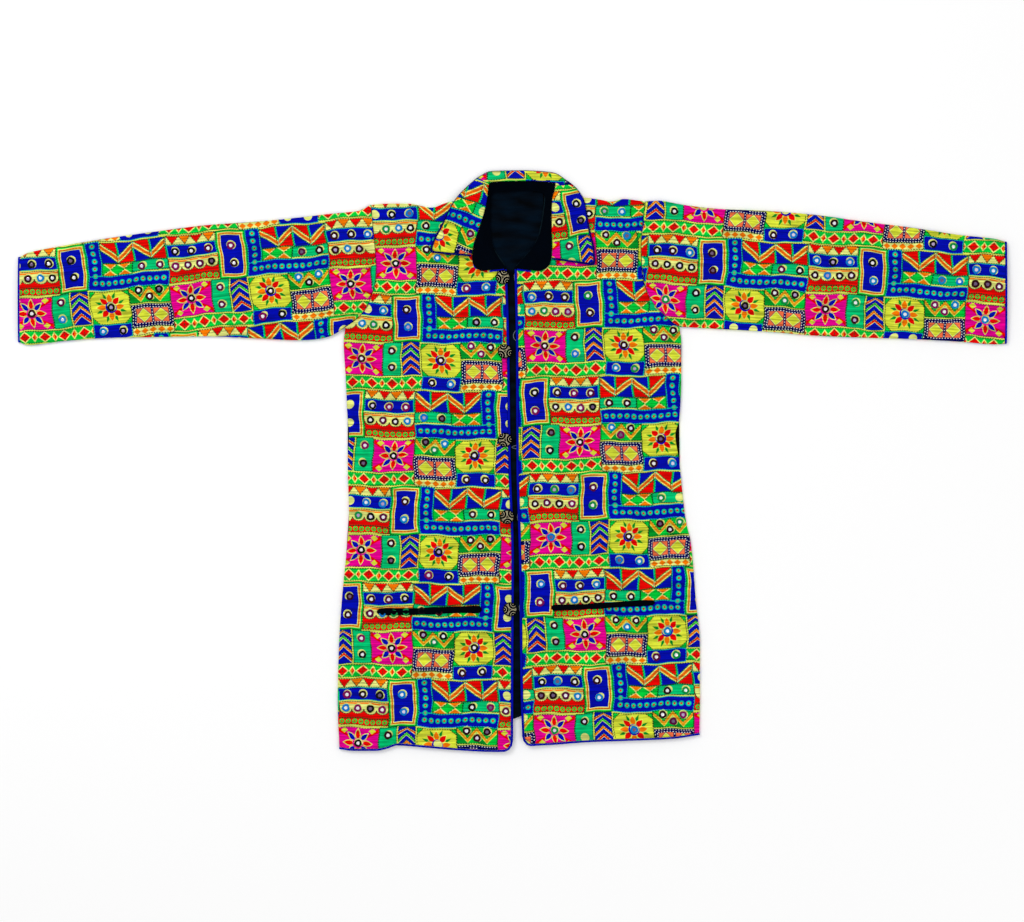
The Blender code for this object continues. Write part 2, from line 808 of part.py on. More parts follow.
def make_button(number, x, y):
    """A dome turned about its own axis; its short shank stands clear of the front binding."""
    radius = BUTTON_PROFILE["radius"]
    count = len(radius)
    profile = np.stack((radius, 0 * radius, BUTTON_PROFILE["height"]), axis=1)
    mesh = bpy.data.meshes.new("button")
    mesh.from_pydata((profile[::-1] * MM).tolist(), [(i, i + 1) for i in range(count - 1)], [])
    made = add_object("button_%d" % number, mesh, "button")
    turn = made.modifiers.new("turn", "SCREW")
    turn.steps = 18
    turn.render_steps = 18
    turn.use_merge_vertices = True
    turn.merge_threshold = 0.00005
    turn.use_smooth_shade = True
    around = np.linspace(0, 2 * math.pi, 13)
    reach_x = x + np.cos(around) * BUTTON_SHANK / 2
    reach_y = y + np.sin(around) * BUTTON_SHANK / 2
    seat = float(np.max(upper_top(reach_x, reach_y))) + BINDING_CLOTH - CLOTH + SEAM
    made.location = (x * MM, y * MM, seat * MM)


def make_loop(number, y, reach, spread):
    """A cord loop that lies on the lining and shows beyond the left front's edge."""
    edge = float(FRONT_X["left"](y))
    lie = LINING_UNDER + LINING + SEAM + LOOP_CORD / 2
    curve = bpy.data.curves.new("button_loop", "CURVE")
    curve.dimensions = "3D"
    curve.bevel_depth = LOOP_CORD / 2 * MM
    curve.bevel_resolution = 1
    curve.use_fill_caps = True
    spline = curve.splines.new("POLY")
    turns = np.linspace(-math.pi / 2, math.pi / 2, 7)
    plan = [(edge + 16, y - spread)]
    plan += [(edge + 6 - (6 + reach) * math.cos(turn), y + spread * math.sin(turn)) for turn in turns]
    plan += [(edge + 16, y + spread)]
    spline.points.add(len(plan) - 1)
    for point, (px, py) in zip(spline.points, plan):
        point.co = (px * MM, py * MM, lie * MM, 1)
    add_object("button_loop_%d" % number, curve, "loop cord")


def build():
    for old in list(bpy.data.objects):
        bpy.data.objects.remove(old)
    collection = bpy.data.collections.new("long_blazer")
    bpy.context.scene.collection.children.link(collection)
    make_back()
    make_lining()
    for side in ("right", "left"):
        make_front(side)
        make_front_binding(side)
        make_sleeve(side)
    make_stand()
    make_collar()
    make_neck_piping()
    make_welts()
    for number, (x, y) in enumerate(zip(BUTTONS["x"], BUTTONS["y"]), 1):
        make_button(number, x, y)
    for number, (y, reach, spread) in enumerate(zip(LOOPS["y"], LOOPS["reach"], LOOPS["spread"]), 1):
        make_loop(number, y, reach, spread)


build()
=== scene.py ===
# The long blazer as it looks: printed patchwork with mirror work, laid flat on a pale floor.
# Sizes and tables are in millimetres and are scaled by MM.
# +Z is up, +Y is toward the collar, +X is the wearer's left.

import json
import math

import bpy
import numpy as np
from mathutils import Vector
from mathutils.bvhtree import BVHTree
from mathutils.geometry import delaunay_2d_cdt
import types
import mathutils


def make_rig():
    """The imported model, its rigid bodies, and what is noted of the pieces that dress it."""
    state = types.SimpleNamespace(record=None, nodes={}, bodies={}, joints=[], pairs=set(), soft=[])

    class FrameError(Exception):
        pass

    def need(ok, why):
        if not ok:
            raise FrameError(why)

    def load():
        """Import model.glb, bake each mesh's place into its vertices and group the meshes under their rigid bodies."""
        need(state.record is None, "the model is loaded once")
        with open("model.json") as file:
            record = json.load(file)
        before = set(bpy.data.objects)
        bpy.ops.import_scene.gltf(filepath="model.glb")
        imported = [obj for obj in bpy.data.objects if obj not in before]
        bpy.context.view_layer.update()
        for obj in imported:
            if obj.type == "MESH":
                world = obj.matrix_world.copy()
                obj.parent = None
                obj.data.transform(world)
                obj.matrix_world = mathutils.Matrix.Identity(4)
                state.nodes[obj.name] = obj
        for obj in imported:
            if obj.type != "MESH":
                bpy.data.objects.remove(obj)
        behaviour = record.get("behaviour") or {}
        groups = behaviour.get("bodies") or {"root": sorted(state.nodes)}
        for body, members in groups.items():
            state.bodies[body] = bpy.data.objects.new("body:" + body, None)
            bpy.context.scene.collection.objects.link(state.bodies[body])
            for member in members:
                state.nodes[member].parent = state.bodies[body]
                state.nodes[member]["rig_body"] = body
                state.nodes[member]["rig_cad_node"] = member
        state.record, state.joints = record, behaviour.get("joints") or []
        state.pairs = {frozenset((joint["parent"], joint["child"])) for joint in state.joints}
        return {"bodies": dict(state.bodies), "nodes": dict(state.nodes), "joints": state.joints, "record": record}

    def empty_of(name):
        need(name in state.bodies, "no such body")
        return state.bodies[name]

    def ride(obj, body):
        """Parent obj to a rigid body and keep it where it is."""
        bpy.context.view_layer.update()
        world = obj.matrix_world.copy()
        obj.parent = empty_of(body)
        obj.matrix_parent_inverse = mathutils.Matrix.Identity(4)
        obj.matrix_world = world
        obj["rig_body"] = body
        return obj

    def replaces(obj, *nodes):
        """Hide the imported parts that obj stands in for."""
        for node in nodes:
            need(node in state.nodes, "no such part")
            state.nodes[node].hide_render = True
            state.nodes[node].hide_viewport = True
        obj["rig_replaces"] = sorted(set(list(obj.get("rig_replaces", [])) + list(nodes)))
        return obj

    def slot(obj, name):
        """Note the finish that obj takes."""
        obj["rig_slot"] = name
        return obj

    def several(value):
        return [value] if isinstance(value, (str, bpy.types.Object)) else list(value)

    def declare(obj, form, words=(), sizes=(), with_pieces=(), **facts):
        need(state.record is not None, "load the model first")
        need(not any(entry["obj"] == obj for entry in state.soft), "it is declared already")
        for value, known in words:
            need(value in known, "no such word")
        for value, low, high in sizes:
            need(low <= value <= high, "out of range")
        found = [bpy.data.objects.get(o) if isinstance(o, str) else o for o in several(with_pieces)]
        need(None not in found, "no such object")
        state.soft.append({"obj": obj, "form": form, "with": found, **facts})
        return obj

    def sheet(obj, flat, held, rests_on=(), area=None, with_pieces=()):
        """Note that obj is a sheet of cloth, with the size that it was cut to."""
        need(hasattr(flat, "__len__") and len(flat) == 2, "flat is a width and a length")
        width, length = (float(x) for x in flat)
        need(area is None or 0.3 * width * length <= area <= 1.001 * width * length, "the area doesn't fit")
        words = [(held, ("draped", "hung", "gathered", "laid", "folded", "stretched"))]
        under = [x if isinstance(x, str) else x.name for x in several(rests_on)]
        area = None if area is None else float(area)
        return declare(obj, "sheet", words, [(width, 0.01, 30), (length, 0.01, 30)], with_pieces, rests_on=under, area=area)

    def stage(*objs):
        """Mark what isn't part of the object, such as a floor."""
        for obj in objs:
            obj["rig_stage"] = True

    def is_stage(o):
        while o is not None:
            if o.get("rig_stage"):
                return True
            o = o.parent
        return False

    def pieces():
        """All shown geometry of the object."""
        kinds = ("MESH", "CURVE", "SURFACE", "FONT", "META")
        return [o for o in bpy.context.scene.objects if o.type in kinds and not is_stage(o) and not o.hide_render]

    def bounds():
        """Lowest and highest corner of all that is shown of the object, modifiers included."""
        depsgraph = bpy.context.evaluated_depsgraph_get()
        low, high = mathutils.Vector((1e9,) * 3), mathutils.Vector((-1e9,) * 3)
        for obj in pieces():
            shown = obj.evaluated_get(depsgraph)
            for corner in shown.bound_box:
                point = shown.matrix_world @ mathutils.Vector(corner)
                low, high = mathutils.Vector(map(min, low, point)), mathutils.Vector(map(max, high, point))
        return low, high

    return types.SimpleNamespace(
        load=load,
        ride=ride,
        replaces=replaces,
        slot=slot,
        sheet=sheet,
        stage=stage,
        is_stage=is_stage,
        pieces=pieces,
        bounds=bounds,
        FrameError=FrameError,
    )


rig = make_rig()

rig.load()
CAD_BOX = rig.bounds()

MM = 0.001

# Cloth
CLOTH = 2.0
LINING = 1.0
STAND = 1.4
WELT = 1.3
SEAM = 0.3

# Heights of the layers above the table
LINING_UNDER = CLOTH + SEAM
FRONT_UNDER = LINING_UNDER + LINING + SEAM
SIDE_UNDER = CLOTH + SEAM
EDGE_LIFT = 1.7
EDGE_LIFT_REACH = 34.0
SIDE_FALL = 22.0
SHOULDER_FALL = 16.0

# Bindings
FRONT_BINDING = 3.3
HEM_BINDING = 2.6
CUFF_BINDING = 3.0
COLLAR_BINDING = 2.6
NECK_PIPING = 2.6
BINDING_CLOTH = 2.3
FRONT_CORNER = 13.0
CORNER_REACH = 6.0

# Sleeves, pressed flat: half the height of their folded edges, the share of the width over which soft folds
# fade out beside them, the rise between them, the wall and the place of the sleeve's end
FOLD_RADIUS = CLOTH + SEAM
FOLD_FADE = 0.15
SLEEVE_CROWN = 3.0
SLEEVE_WALL = 1.8
CUFF_X = 738.0

# The cuff binding's section: beyond the sleeve's end, and out from the cloth's face
CUFF_SECTION = (
    (SEAM * 0.4, -0.1),
    (0.9, 0.25),
    (1.7, 0.3),
    (2.5, 0.1),
    (CUFF_BINDING, -0.7),
    (CUFF_BINDING, -1.5),
    (SEAM * 0.4, -1.9),
)

# Body grids, and how far in the rows bend to follow the hem and the shoulder
FRONT_COLUMNS = 48
BACK_COLUMNS = 60
UNDERARM = 200.0
SHOULDER = 384.0
HEM = -425.0
NECK_BOTTOM = 287.0
BACK_HEM_RISE = 45.0
HEM_BEND = 120
SHOULDER_BEND = 60

# The lining: what the neck shows of it, its two seams, the slit between the fronts and its fine wrinkles
NECK_RIGHT = -39.0
NECK_LEFT = 53.0
NECK_ROW = 284
LINING_TOP = 405
YOKE_SEAM = 382.0
BACK_SEAM = 4
SLIT_BOTTOM = -330
SLIT_TOP = 262
SLIT_REACH = 14
SLIT_FADE = 20
WRINKLE = 0.35

# Collar: the distance between stations at its ends, the shares of its length where its three printed
# parts meet, how far across its fold rolls, its wall, and the height taken where its skin has no point
END_STEP = 21.0
RIGHT_JOIN = 0.36
LEFT_JOIN = 0.66
COLLAR_ROLL = 2.2
COLLAR_WALL = 1.7
COLLAR_LEVEL = 9.0

# Buttons, their gold wires in fans, each arc with its radius and half its sweep, and the cord of their loops
BUTTON_DIAMETER = 21.5
BUTTON_SHANK = 7.0
BUTTON_SIDES = 48
BUTTON_RIM = 0.9
FANS = 3
FAN_INSET = 1.6
FAN_ARCS = ((0.6, 1.6), (3.8, 1.9), (7.5, 1.3))
BAR_START = 7.4
MIDDLE_SPIN = 0.14
SPIN_STEP = 0.45
WIRE_FOOT = 0.29
WIRE_TOP = 0.17
LOOP_CORD = 1.2
LOOP_TWIST = 3.2
LOOP_END = 10
LOOP_INSET = 6

# The photo's frame, the camera above it, the floor and the lamps, in metres
FRAME_WIDTH = 1.536
CAMERA_RISE = 3.6
SENSOR = 36
FLOOR_REACH = 6.0
FLOOR_LEVEL = -0.0004
WORLD_LIGHT = 0.78
LAMPS = (
    ("key", (-1.6, 1.9, 2.6), 1.4, 42),
    ("fill", (1.8, -1.2, 2.4), 2.2, 14),
)


def table(columns, *rows):
    """A short table as a dictionary of named columns."""
    return dict(zip(columns.split(), np.array(rows, float).T))


SIDE = table(
    "y right left",
    (-436, -259, 280),
    (-359, -262, 281),
    (-275, -260, 281),
    (-212, -256, 275),
    (-128, -248, 268),
    (-86, -245, 259),
    (-2, -247, 250),
    (40, -245, 244),
    (61, -247, 250),
    (124, -250, 253),
    (178, -253, 253),
    (UNDERARM, -250, 250),
)

# The sleeves' sections have a point at each of these stations
ARMHOLE = table(
    "y right left",
    (UNDERARM, -250, 250),
    (207, -239, 239),
    (217, -228, 228),
    (229, -218.5, 215.5),
    (245, -211.5, 204.5),
    (266, -205.5, 197),
    (292, -204, 193.5),
    (320, -206, 192.5),
    (350, -209, 194.5),
    (SHOULDER, -212, 199),
)
NECK_ROWS = (279, 286, 299, 310, 335, 367)

FRONT_EDGE = table(
    "y right left",
    (-436, 1, 15),
    (-401, 1, 14),
    (-359, 1, 12.5),
    (-149, 2, 9.8),
    (0, -2.8, 5.9),
    (181, -5.2, 5.2),
    (NECK_BOTTOM, -9, 3.2),
    (299, -15, 12),
    (310, -23, 22),
    (323, -30, 33),
    (341, -33, 41),
    (371, -34.5, 47),
    (402, -34.5, 50),
)

SHOULDER_LINE = table(
    "x y",
    (-213, 383),
    (-186, 385),
    (-157, 385),
    (-121, 379),
    (-100, 386),
    (-35, 400),
    (-20, 406),
    (8, 408),
    (36, 406),
    (50, 400),
    (92, 396),
    (131, 391),
    (148, 388),
    (167, 392),
    (185, 390),
    (200, 388),
)

HEM_LINE = table(
    "x y",
    (-262, -432),
    (-238, -435),
    (-205, -435),
    (-186, -431),
    (-175, -427),
    (-120, -431),
    (-84, -434),
    (-30, -436.5),
    (0, -435),
    (20, -428),
    (60, -426),
    (114, -422),
    (200, -419),
    (239, -417),
    (281, -411),
)

SLEEVE_RIGHT = table(
    "x top bottom",
    (-738, 305, 177),
    (-727, 311, 173),
    (-673, 322, 179),
    (-601, 334, 184),
    (-529, 344, 185),
    (-457, 353, 186),
    (-385, 358, 183),
    (-313, 365, 180),
    (-280, 369, 182),
    (-259, 371, 188),
    (-230, 374, 200),
    (-213, 383, 210),
)

SLEEVE_LEFT = table(
    "x top bottom",
    (200, 387, 206),
    (222, 389, 203),
    (240, 386, 201),
    (257, 383, 200),
    (311, 377, 197),
    (383, 374, 193),
    (455, 368, 187),
    (527, 358, 184),
    (599, 349, 182),
    (671, 338, 178),
    (725, 332, 174),
    (738, 328, 175),
)

# Soft folds of the upper cloth, each a ridge: centre, heading in degrees, length, width and height
FOLDS = table(
    "x y heading length width height",
    (-262, 212, 25, 46, 7, 3.6),
    (-246, 232, 40, 52, 8, 2.6),
    (-290, 205, 160, 60, 9, 2.4),
    (-228, 186, 120, 70, 10, 2.2),
    (-330, 250, 12, 120, 16, 1.8),
    (-430, 300, 172, 130, 18, 1.3),
    (-560, 230, 10, 150, 17, 1.5),
    (-660, 280, 175, 110, 16, 1.3),
    (262, 220, 155, 52, 8, 3.0),
    (236, 214, 120, 60, 9, 2.6),
    (300, 235, 170, 90, 13, 1.9),
    (420, 290, 8, 140, 17, 1.5),
    (560, 240, 172, 150, 18, 1.5),
    (668, 270, 6, 110, 16, 1.3),
    (-190, 60, 84, 210, 16, 1.6),
    (-120, -60, 92, 260, 20, 1.2),
    (-215, -190, 80, 220, 17, 1.5),
    (-130, -330, 88, 180, 18, 1.5),
    (-60, -250, 95, 240, 17, 1.0),
    (190, 70, 96, 200, 16, 1.5),
    (130, -30, 86, 260, 20, 1.2),
    (225, -160, 99, 230, 17, 1.6),
    (150, -300, 92, 210, 18, 1.4),
    (70, -220, 87, 240, 17, 1.0),
)

# Wrinkles of the lining that shows in the neck
NECK_WRINKLES = table(
    "x y heading length width height",
    (12, 379, 4, 76, 4.5, 1.4),
    (22, 366, 8, 60, 5.0, 1.8),
    (-14, 356, 170, 44, 5.0, 1.3),
    (10, 346, 2, 64, 5.5, 1.6),
    (-8, 330, 3, 60, 5.0, 1.9),
    (14, 318, 24, 44, 5.0, 1.5),
    (4, 304, 140, 30, 4.5, 1.2),
)

# Collar, from the wearer's right wing round the back of the neck to the left wing.
# The stand runs from the neck seam to the fold, and the fall from the fold to its outer edge.
COLLAR = table(
    "fold_x fold_y fold_z outer_x outer_y outer_z",
    (-61, 305, 9.2, -125, 311, 8.0),
    (-57, 325, 10.6, -118, 331, 7.9),
    (-50, 346, 11.8, -107, 352, 7.6),
    (-42, 370, 12.6, -96, 374, 7.2),
    (-37.5, 391, 13.2, -84, 394, 5.0),
    (-36, 405, 13.4, -68, 411, 2.4),
    (-34.5, 414, 13.4, -48, 427, 1.0),
    (-23, 416.5, 13.4, -31, 434, 0.6),
    (14, 417.5, 13.4, 14, 435, 0.6),
    (53, 416, 13.4, 60, 432, 0.6),
    (64, 414, 13.4, 80, 421, 1.2),
    (63, 405, 13.4, 97, 407, 2.4),
    (59, 391, 13.2, 108, 388, 5.4),
    (58, 370, 12.6, 112, 367, 7.2),
    (58, 345, 11.8, 117, 341, 7.6),
    (59, 321, 10.6, 123, 315, 7.9),
    (58, 301, 9.2, 124, 291, 8.0),
)

STAND_EDGES = table(
    "inner_x inner_y inner_z fold_x fold_y fold_z",
    (-9, 288, 8.0, -36, 285, 8.0),
    (-10.5, 290, 8.0, -46, 283.5, 8.0),
    (-13.5, 293.5, 8.0, -55, 288, 8.0),
    (-17.5, 299, 7.6, -60, 296, 8.4),
    (-22, 306, 7.6, -61, 305, 9.2),
    (-28, 318, 7.2, -57, 325, 10.6),
    (-32, 336, 6.6, -50, 346, 11.8),
    (-33.5, 359, 6.6, -42, 370, 12.6),
    (-33, 384, 6.4, -37.5, 391, 13.2),
    (-31, 397, 5.6, -36, 405, 13.4),
    (-27, 401, 5.0, -34.5, 414, 13.4),
    (-16, 402.5, 4.8, -23, 416.5, 13.4),
    (14, 404, 4.8, 14, 417.5, 13.4),
    (40, 402, 5.0, 53, 416, 13.4),
    (47, 399, 5.6, 64, 414, 13.4),
    (49, 391, 6.0, 63, 405, 13.4),
    (47.5, 377, 6.4, 59, 391, 13.2),
    (45, 360, 6.6, 58, 370, 12.6),
    (41, 341, 6.6, 58, 345, 11.8),
    (32, 322, 7.1, 59, 321, 10.6),
    (22, 309, 7.6, 58, 301, 9.2),
    (13, 299.5, 7.6, 56.5, 294, 8.4),
    (8.5, 294, 8.0, 50, 287, 8.0),
    (5, 290, 8.0, 40, 283.5, 8.0),
    (3, 288, 8.0, 29, 285, 8.0),
)

BUTTONS = table(
    "x y",
    (-14.4, 274),
    (-11.3, 163.2),
    (-11.2, 30.8),
    (-7.8, -84.3),
    (-3.5, -222.8),
)

# How far each loop shows beyond the left front edge, and half its height there
LOOPS = table(
    "y reach spread",
    (275, 0.6, 9.0),
    (187, 3.8, 9.5),
    (20, 6.6, 2.7),
    (-85, 0.6, 9.0),
    (-221, 0.6, 9.0),
)

WELTS = table(
    "inner_x inner_y outer_x outer_y depth",
    (-46, -223, -203, -227, 10.5),
    (58, -221, 213, -213, 8.5),
)

LINING_EDGE = table(
    "y right left",
    (-436, -234, 255),
    (-86, -219, 233),
    (40, -219, 218),
    (180, -224, 224),
    (206, -198, 198),
    (266, -178, 170),
    (330, -150, 140),
    (348, -60, 70),
    (360, -34, 46),
    (408, -33, 46),
)


def through(stations, values):
    """A smooth curve through the stations of a table, with no overshoot."""
    step = np.diff(stations)
    slope = np.diff(values) / step
    tangent = np.concatenate(([slope[0]], np.zeros(len(slope) - 1), [slope[-1]]))
    for i in range(1, len(slope)):
        if slope[i - 1] * slope[i] > 0:
            tangent[i] = 2 * slope[i - 1] * slope[i] / (slope[i - 1] + slope[i])

    def curve(at):
        at = np.clip(at, stations[0], stations[-1])
        i = np.clip(np.searchsorted(stations, at, side="right") - 1, 0, len(step) - 1)
        s = (at - stations[i]) / step[i]
        ends = values[i] * (1 + 2 * s) * (1 - s) ** 2 + values[i + 1] * s ** 2 * (3 - 2 * s)
        bends = tangent[i] * s * (1 - s) ** 2 + tangent[i + 1] * s ** 2 * (s - 1)
        return ends + step[i] * bends

    return curve


def ease(value):
    """A soft step from 0 to 1."""
    value = np.clip(value, 0, 1)
    return value ** 2 * (3 - 2 * value)


def ridges(folds, x, y):
    """Height of soft folds over a point."""
    total = 0.0 * x
    for i in range(len(folds["x"])):
        heading = math.radians(folds["heading"][i])
        dx = x - folds["x"][i]
        dy = y - folds["y"][i]
        along = dx * math.cos(heading) + dy * math.sin(heading)
        across = dy * math.cos(heading) - dx * math.sin(heading)
        reach = (across / folds["width"][i]) ** 2 + (2 * along / folds["length"][i]) ** 2
        total = total + folds["height"][i] * np.exp(-reach)
    return total


OUTWARD = {"right": -1, "left": 1}
SIDE_X = {side: through(SIDE["y"], SIDE[side]) for side in OUTWARD}
FRONT_X = {side: through(FRONT_EDGE["y"], FRONT_EDGE[side]) for side in OUTWARD}
SHOULDER_Y = through(SHOULDER_LINE["x"], SHOULDER_LINE["y"])
HEM_Y = through(HEM_LINE["x"], HEM_LINE["y"])


def opening_x(y):
    """The middle of the open front."""
    return (FRONT_X["right"](y) + FRONT_X["left"](y)) / 2


def outer_x(side, y):
    """The side seam below the underarm, the armhole seam above it."""
    return np.where(y < UNDERARM, SIDE_X[side](y), np.interp(y, ARMHOLE["y"], ARMHOLE[side]))


def back_hem_y(x):
    """The back's hem, which rises toward the centre."""
    right, left = SIDE["right"][0], SIDE["left"][0]
    share = np.clip(np.abs(x - (left + right) / 2) / ((left - right) / 2), 0, 1)
    return HEM_Y(x) + HEM_BINDING + BACK_HEM_RISE * (1 - share ** 6)


def upper_under(x, y):
    """Underside of the upper cloth: the fronts and the sleeves' upper layer."""
    to_side = np.minimum(x - SIDE_X["right"](y), SIDE_X["left"](y) - x)
    to_side = np.where(y < UNDERARM, to_side, SIDE_FALL)
    to_shoulder = SHOULDER_Y(x) - y
    fall = ease(to_side / SIDE_FALL) * ease(to_shoulder / SHOULDER_FALL)
    near_edge = 1 - ease((np.abs(x - opening_x(y)) - EDGE_LIFT_REACH / 2) / EDGE_LIFT_REACH)
    lift = FRONT_UNDER - SIDE_UNDER + EDGE_LIFT * near_edge + ridges(FOLDS, x, y)
    return SIDE_UNDER + lift * fall


def upper_top(x, y):
    """Outer face of the fronts, before its small creases."""
    return upper_under(x, y) + CLOTH


def body_rows():
    """Heights of the body grid's rows, closer together at the corners and the underarm."""
    corner = HEM + FRONT_CORNER * (1 - np.cos(np.linspace(0, math.pi / 2, 4)))
    below = np.linspace(corner[-1], UNDERARM, 90)[1:]
    above = np.sort(np.concatenate((ARMHOLE["y"][1:], NECK_ROWS)))
    return np.concatenate((corner, below, above))


def body_y(x, row, hem):
    """Bends a level row so that the last rows follow the hem and the first the shoulder."""
    to_hem = 1 - ease((row - HEM) / HEM_BEND)
    to_shoulder = ease((row - SHOULDER + SHOULDER_BEND) / SHOULDER_BEND)
    return row + (hem(x) - HEM) * to_hem + (SHOULDER_Y(x) - SHOULDER) * to_shoulder


def front_grid(side):
    """Plan of one front panel, inside its bindings."""
    inset = FRONT_BINDING + SEAM
    hem_inset = HEM_BINDING + SEAM
    outward = OUTWARD[side]
    plan = []
    for row in body_rows():
        edge = FRONT_X[side](min(row, SHOULDER))
        if row < NECK_BOTTOM:
            edge = edge + outward * inset
        up = max(0.0, HEM + FRONT_CORNER - row) / FRONT_CORNER
        edge = edge + outward * (FRONT_CORNER - inset) * (1 - math.sqrt(1 - up ** 2))
        x = np.linspace(edge, outer_x(side, row), FRONT_COLUMNS)
        plan.append(np.column_stack((x, body_y(x, row, lambda at: HEM_Y(at) + hem_inset))))
    return np.array(plan)


def back_grid():
    """Plan of the back panel, from the wearer's right to the left."""
    plan = []
    for row in np.concatenate((np.linspace(HEM, UNDERARM, 10)[:-1], ARMHOLE["y"])):
        x = np.linspace(outer_x("right", row), outer_x("left", row), BACK_COLUMNS)
        plan.append(np.column_stack((x, body_y(x, row, lambda at: back_hem_y(at) + HEM_BINDING + SEAM))))
    return np.array(plan)


def lining_under(x, y):
    """Underside of the lining, wrinkled only where the neck shows it."""
    seen = ease((y - NECK_ROW) / 16) * ease((x - NECK_RIGHT) / 8) * ease((NECK_LEFT - x) / 8)
    return LINING_UNDER + seen * ridges(NECK_WRINKLES, x, y)


def armhole_points(side):
    """The armhole seam from the shoulder to the underarm, moved just off the body."""
    y = ARMHOLE["y"][::-1]
    x = ARMHOLE[side][::-1]
    return np.column_stack((x + OUTWARD[side] * 1.8 * SEAM, body_y(x, y, HEM_Y) + 1.4 * SEAM))


def run_along(line):
    """Distance along a polyline at each of its points."""
    return np.concatenate(([0], np.cumsum(np.linalg.norm(np.diff(line, axis=0), axis=1))))


def sleeve_plan(side):
    """A function from (along, across) to the plan: along 0 at the cuff, 1 at the armhole."""
    edges = SLEEVE_RIGHT if side == "right" else SLEEVE_LEFT
    top = through(edges["x"], edges["top"])
    bottom = through(edges["x"], edges["bottom"])
    cuff = OUTWARD[side] * CUFF_X
    hole = armhole_points(side)
    run = run_along(hole)
    run = run / run[-1]

    def edge_point(curve, end, along):
        x = cuff + (end[0] - cuff) * along
        return np.array((x, curve(x) + (end[1] - curve(end[0])) * along ** 24))

    def plan(along, across):
        across = np.asarray(across, float)[..., None]
        cuff_top = edge_point(top, hole[0], 0.0)
        cuff_bottom = edge_point(bottom, hole[-1], 0.0)
        cuff_point = cuff_top + (cuff_bottom - cuff_top) * across
        hole_point = np.concatenate([np.interp(across, run, axis) for axis in hole.T], axis=-1)
        upper = edge_point(top, hole[0], along)
        lower = edge_point(bottom, hole[-1], along)
        edge_blend = upper * (1 - across) + lower * across
        end_blend = cuff_point * (1 - along) + hole_point * along
        corners = (cuff_top * (1 - across) + cuff_bottom * across) * (1 - along)
        corners = corners + (hole[0] * (1 - across) + hole[-1] * across) * along
        return edge_blend + end_blend - corners

    return plan


# Dyes and threads of the cloth, in sRGB
DYES = {
    "cord": (232, 244, 96),
    "cream": (242, 248, 138),
    "yellow": (224, 234, 60),
    "blue": (0, 11, 182),
    "navy": (1, 2, 84),
    "green": (0, 212, 60),
    "sea": (0, 206, 120),
    "grass": (0, 150, 40),
    "teal": (0, 206, 158),
    "red": (242, 4, 0),
    "eye": (206, 70, 14),
    "orange": (255, 126, 0),
    "amber": (240, 156, 16),
    "salmon": (255, 118, 70),
    "pink": (242, 0, 150),
    "white": (244, 244, 238),
    "moss": (0, 60, 20),
    "seam": (14, 30, 38),
    "black": (5, 5, 7),
}
DYE_NAMES = list(DYES)

# The printed patchwork: one block, repeated across, with every second row turned over and moved along
BLOCK_WIDTH = 240.0
BLOCK_HEIGHT = 144.0
ROW_SHIFT = 110.0
CORD = 1.0
LINE = 2.1
MIRROR_PATCH = 6.6
WOBBLE_STEP = 5.0
MIRROR_SIDES = 14
STITCH_PITCH = 3.7


def linear(colour):
    """A colour from sRGB bytes to linear light."""
    share = np.array(colour, float) / 255
    return np.where(share <= 0.04045, share / 12.92, ((share + 0.055) / 1.055) ** 2.4)


DYE_COLOURS = np.array([linear(DYES[name]) for name in DYE_NAMES])


def smoothly(points, step, closed=True):
    """A polyline with more points, none moved."""
    points = np.asarray(points, float)
    if closed:
        points = np.concatenate((points, points[:1]))
    made = []
    for start, end in zip(points[:-1], points[1:]):
        length = np.linalg.norm(end - start)
        if length < NEAREST:
            continue
        count = max(1, round(length / step))
        made.extend(start + (end - start) * i / count for i in range(count))
    if not closed:
        made.append(points[-1])
    return np.array(made)

# One block as it is drawn, in millimetres of cloth: its shapes with their dyes, its stitches and its mirrors
SHAPES = []
SEAMS = []
MIRRORS = []


def patch(points, dye):
    SHAPES.append((smoothly(points, WOBBLE_STEP), DYE_NAMES.index(dye)))


def sew(points, thread="moss", pitch=STITCH_PITCH):
    """Stitches along a line: where each is, which way it lies and its thread."""
    points = np.array(points, float)
    for start, end in zip(points[:-1], points[1:]):
        length = float(np.linalg.norm(end - start))
        count = max(1, round(length / pitch))
        for share in (np.arange(count) + 0.5) / count:
            SEAMS.append((*(start + (end - start) * share), *(end - start) / length, DYE_NAMES.index(thread)))


def box(x, y, w, h, dye):
    patch([(x, y), (x + w, y), (x + w, y + h), (x, y + h)], dye)


def disc(x, y, radius, dye, sides=12):
    turn = np.arange(sides) * 2 * math.pi / sides + 0.1
    patch(np.column_stack((x + radius * np.cos(turn), y + radius * np.sin(turn))), dye)


def diamond(x, y, half_w, half_h, dye):
    patch([(x - half_w, y), (x, y - half_h), (x + half_w, y), (x, y + half_h)], dye)


def leaf(x, y, heading, near, far, half, dye):
    share = np.array((0, 0.18, 0.42, 0.7, 0.9, 1))
    side = half * np.sin(math.pi * share ** 0.85)
    along = near + (far - near) * share
    both = np.concatenate((np.column_stack((along, side)), np.column_stack((along, -side))[-2:0:-1]))
    cosine = math.cos(heading)
    sine = math.sin(heading)
    patch(both @ np.array(((cosine, sine), (-sine, cosine))) + (x, y), dye)


def band(points, width, dye):
    points = np.array(points, float)
    rise = np.array((0, width / 2))
    patch(np.concatenate((points + rise, (points - rise)[::-1])), dye)


def within(x, y, w, h, inset):
    """A field made smaller by an inset on all sides."""
    return x + inset, y + inset, w - 2 * inset, h - 2 * inset


def frame_seam(x, y, w, h, thread="moss", pitch=STITCH_PITCH):
    sew([(x, y), (x + w, y), (x + w, y + h), (x, y + h), (x, y)], thread, pitch)


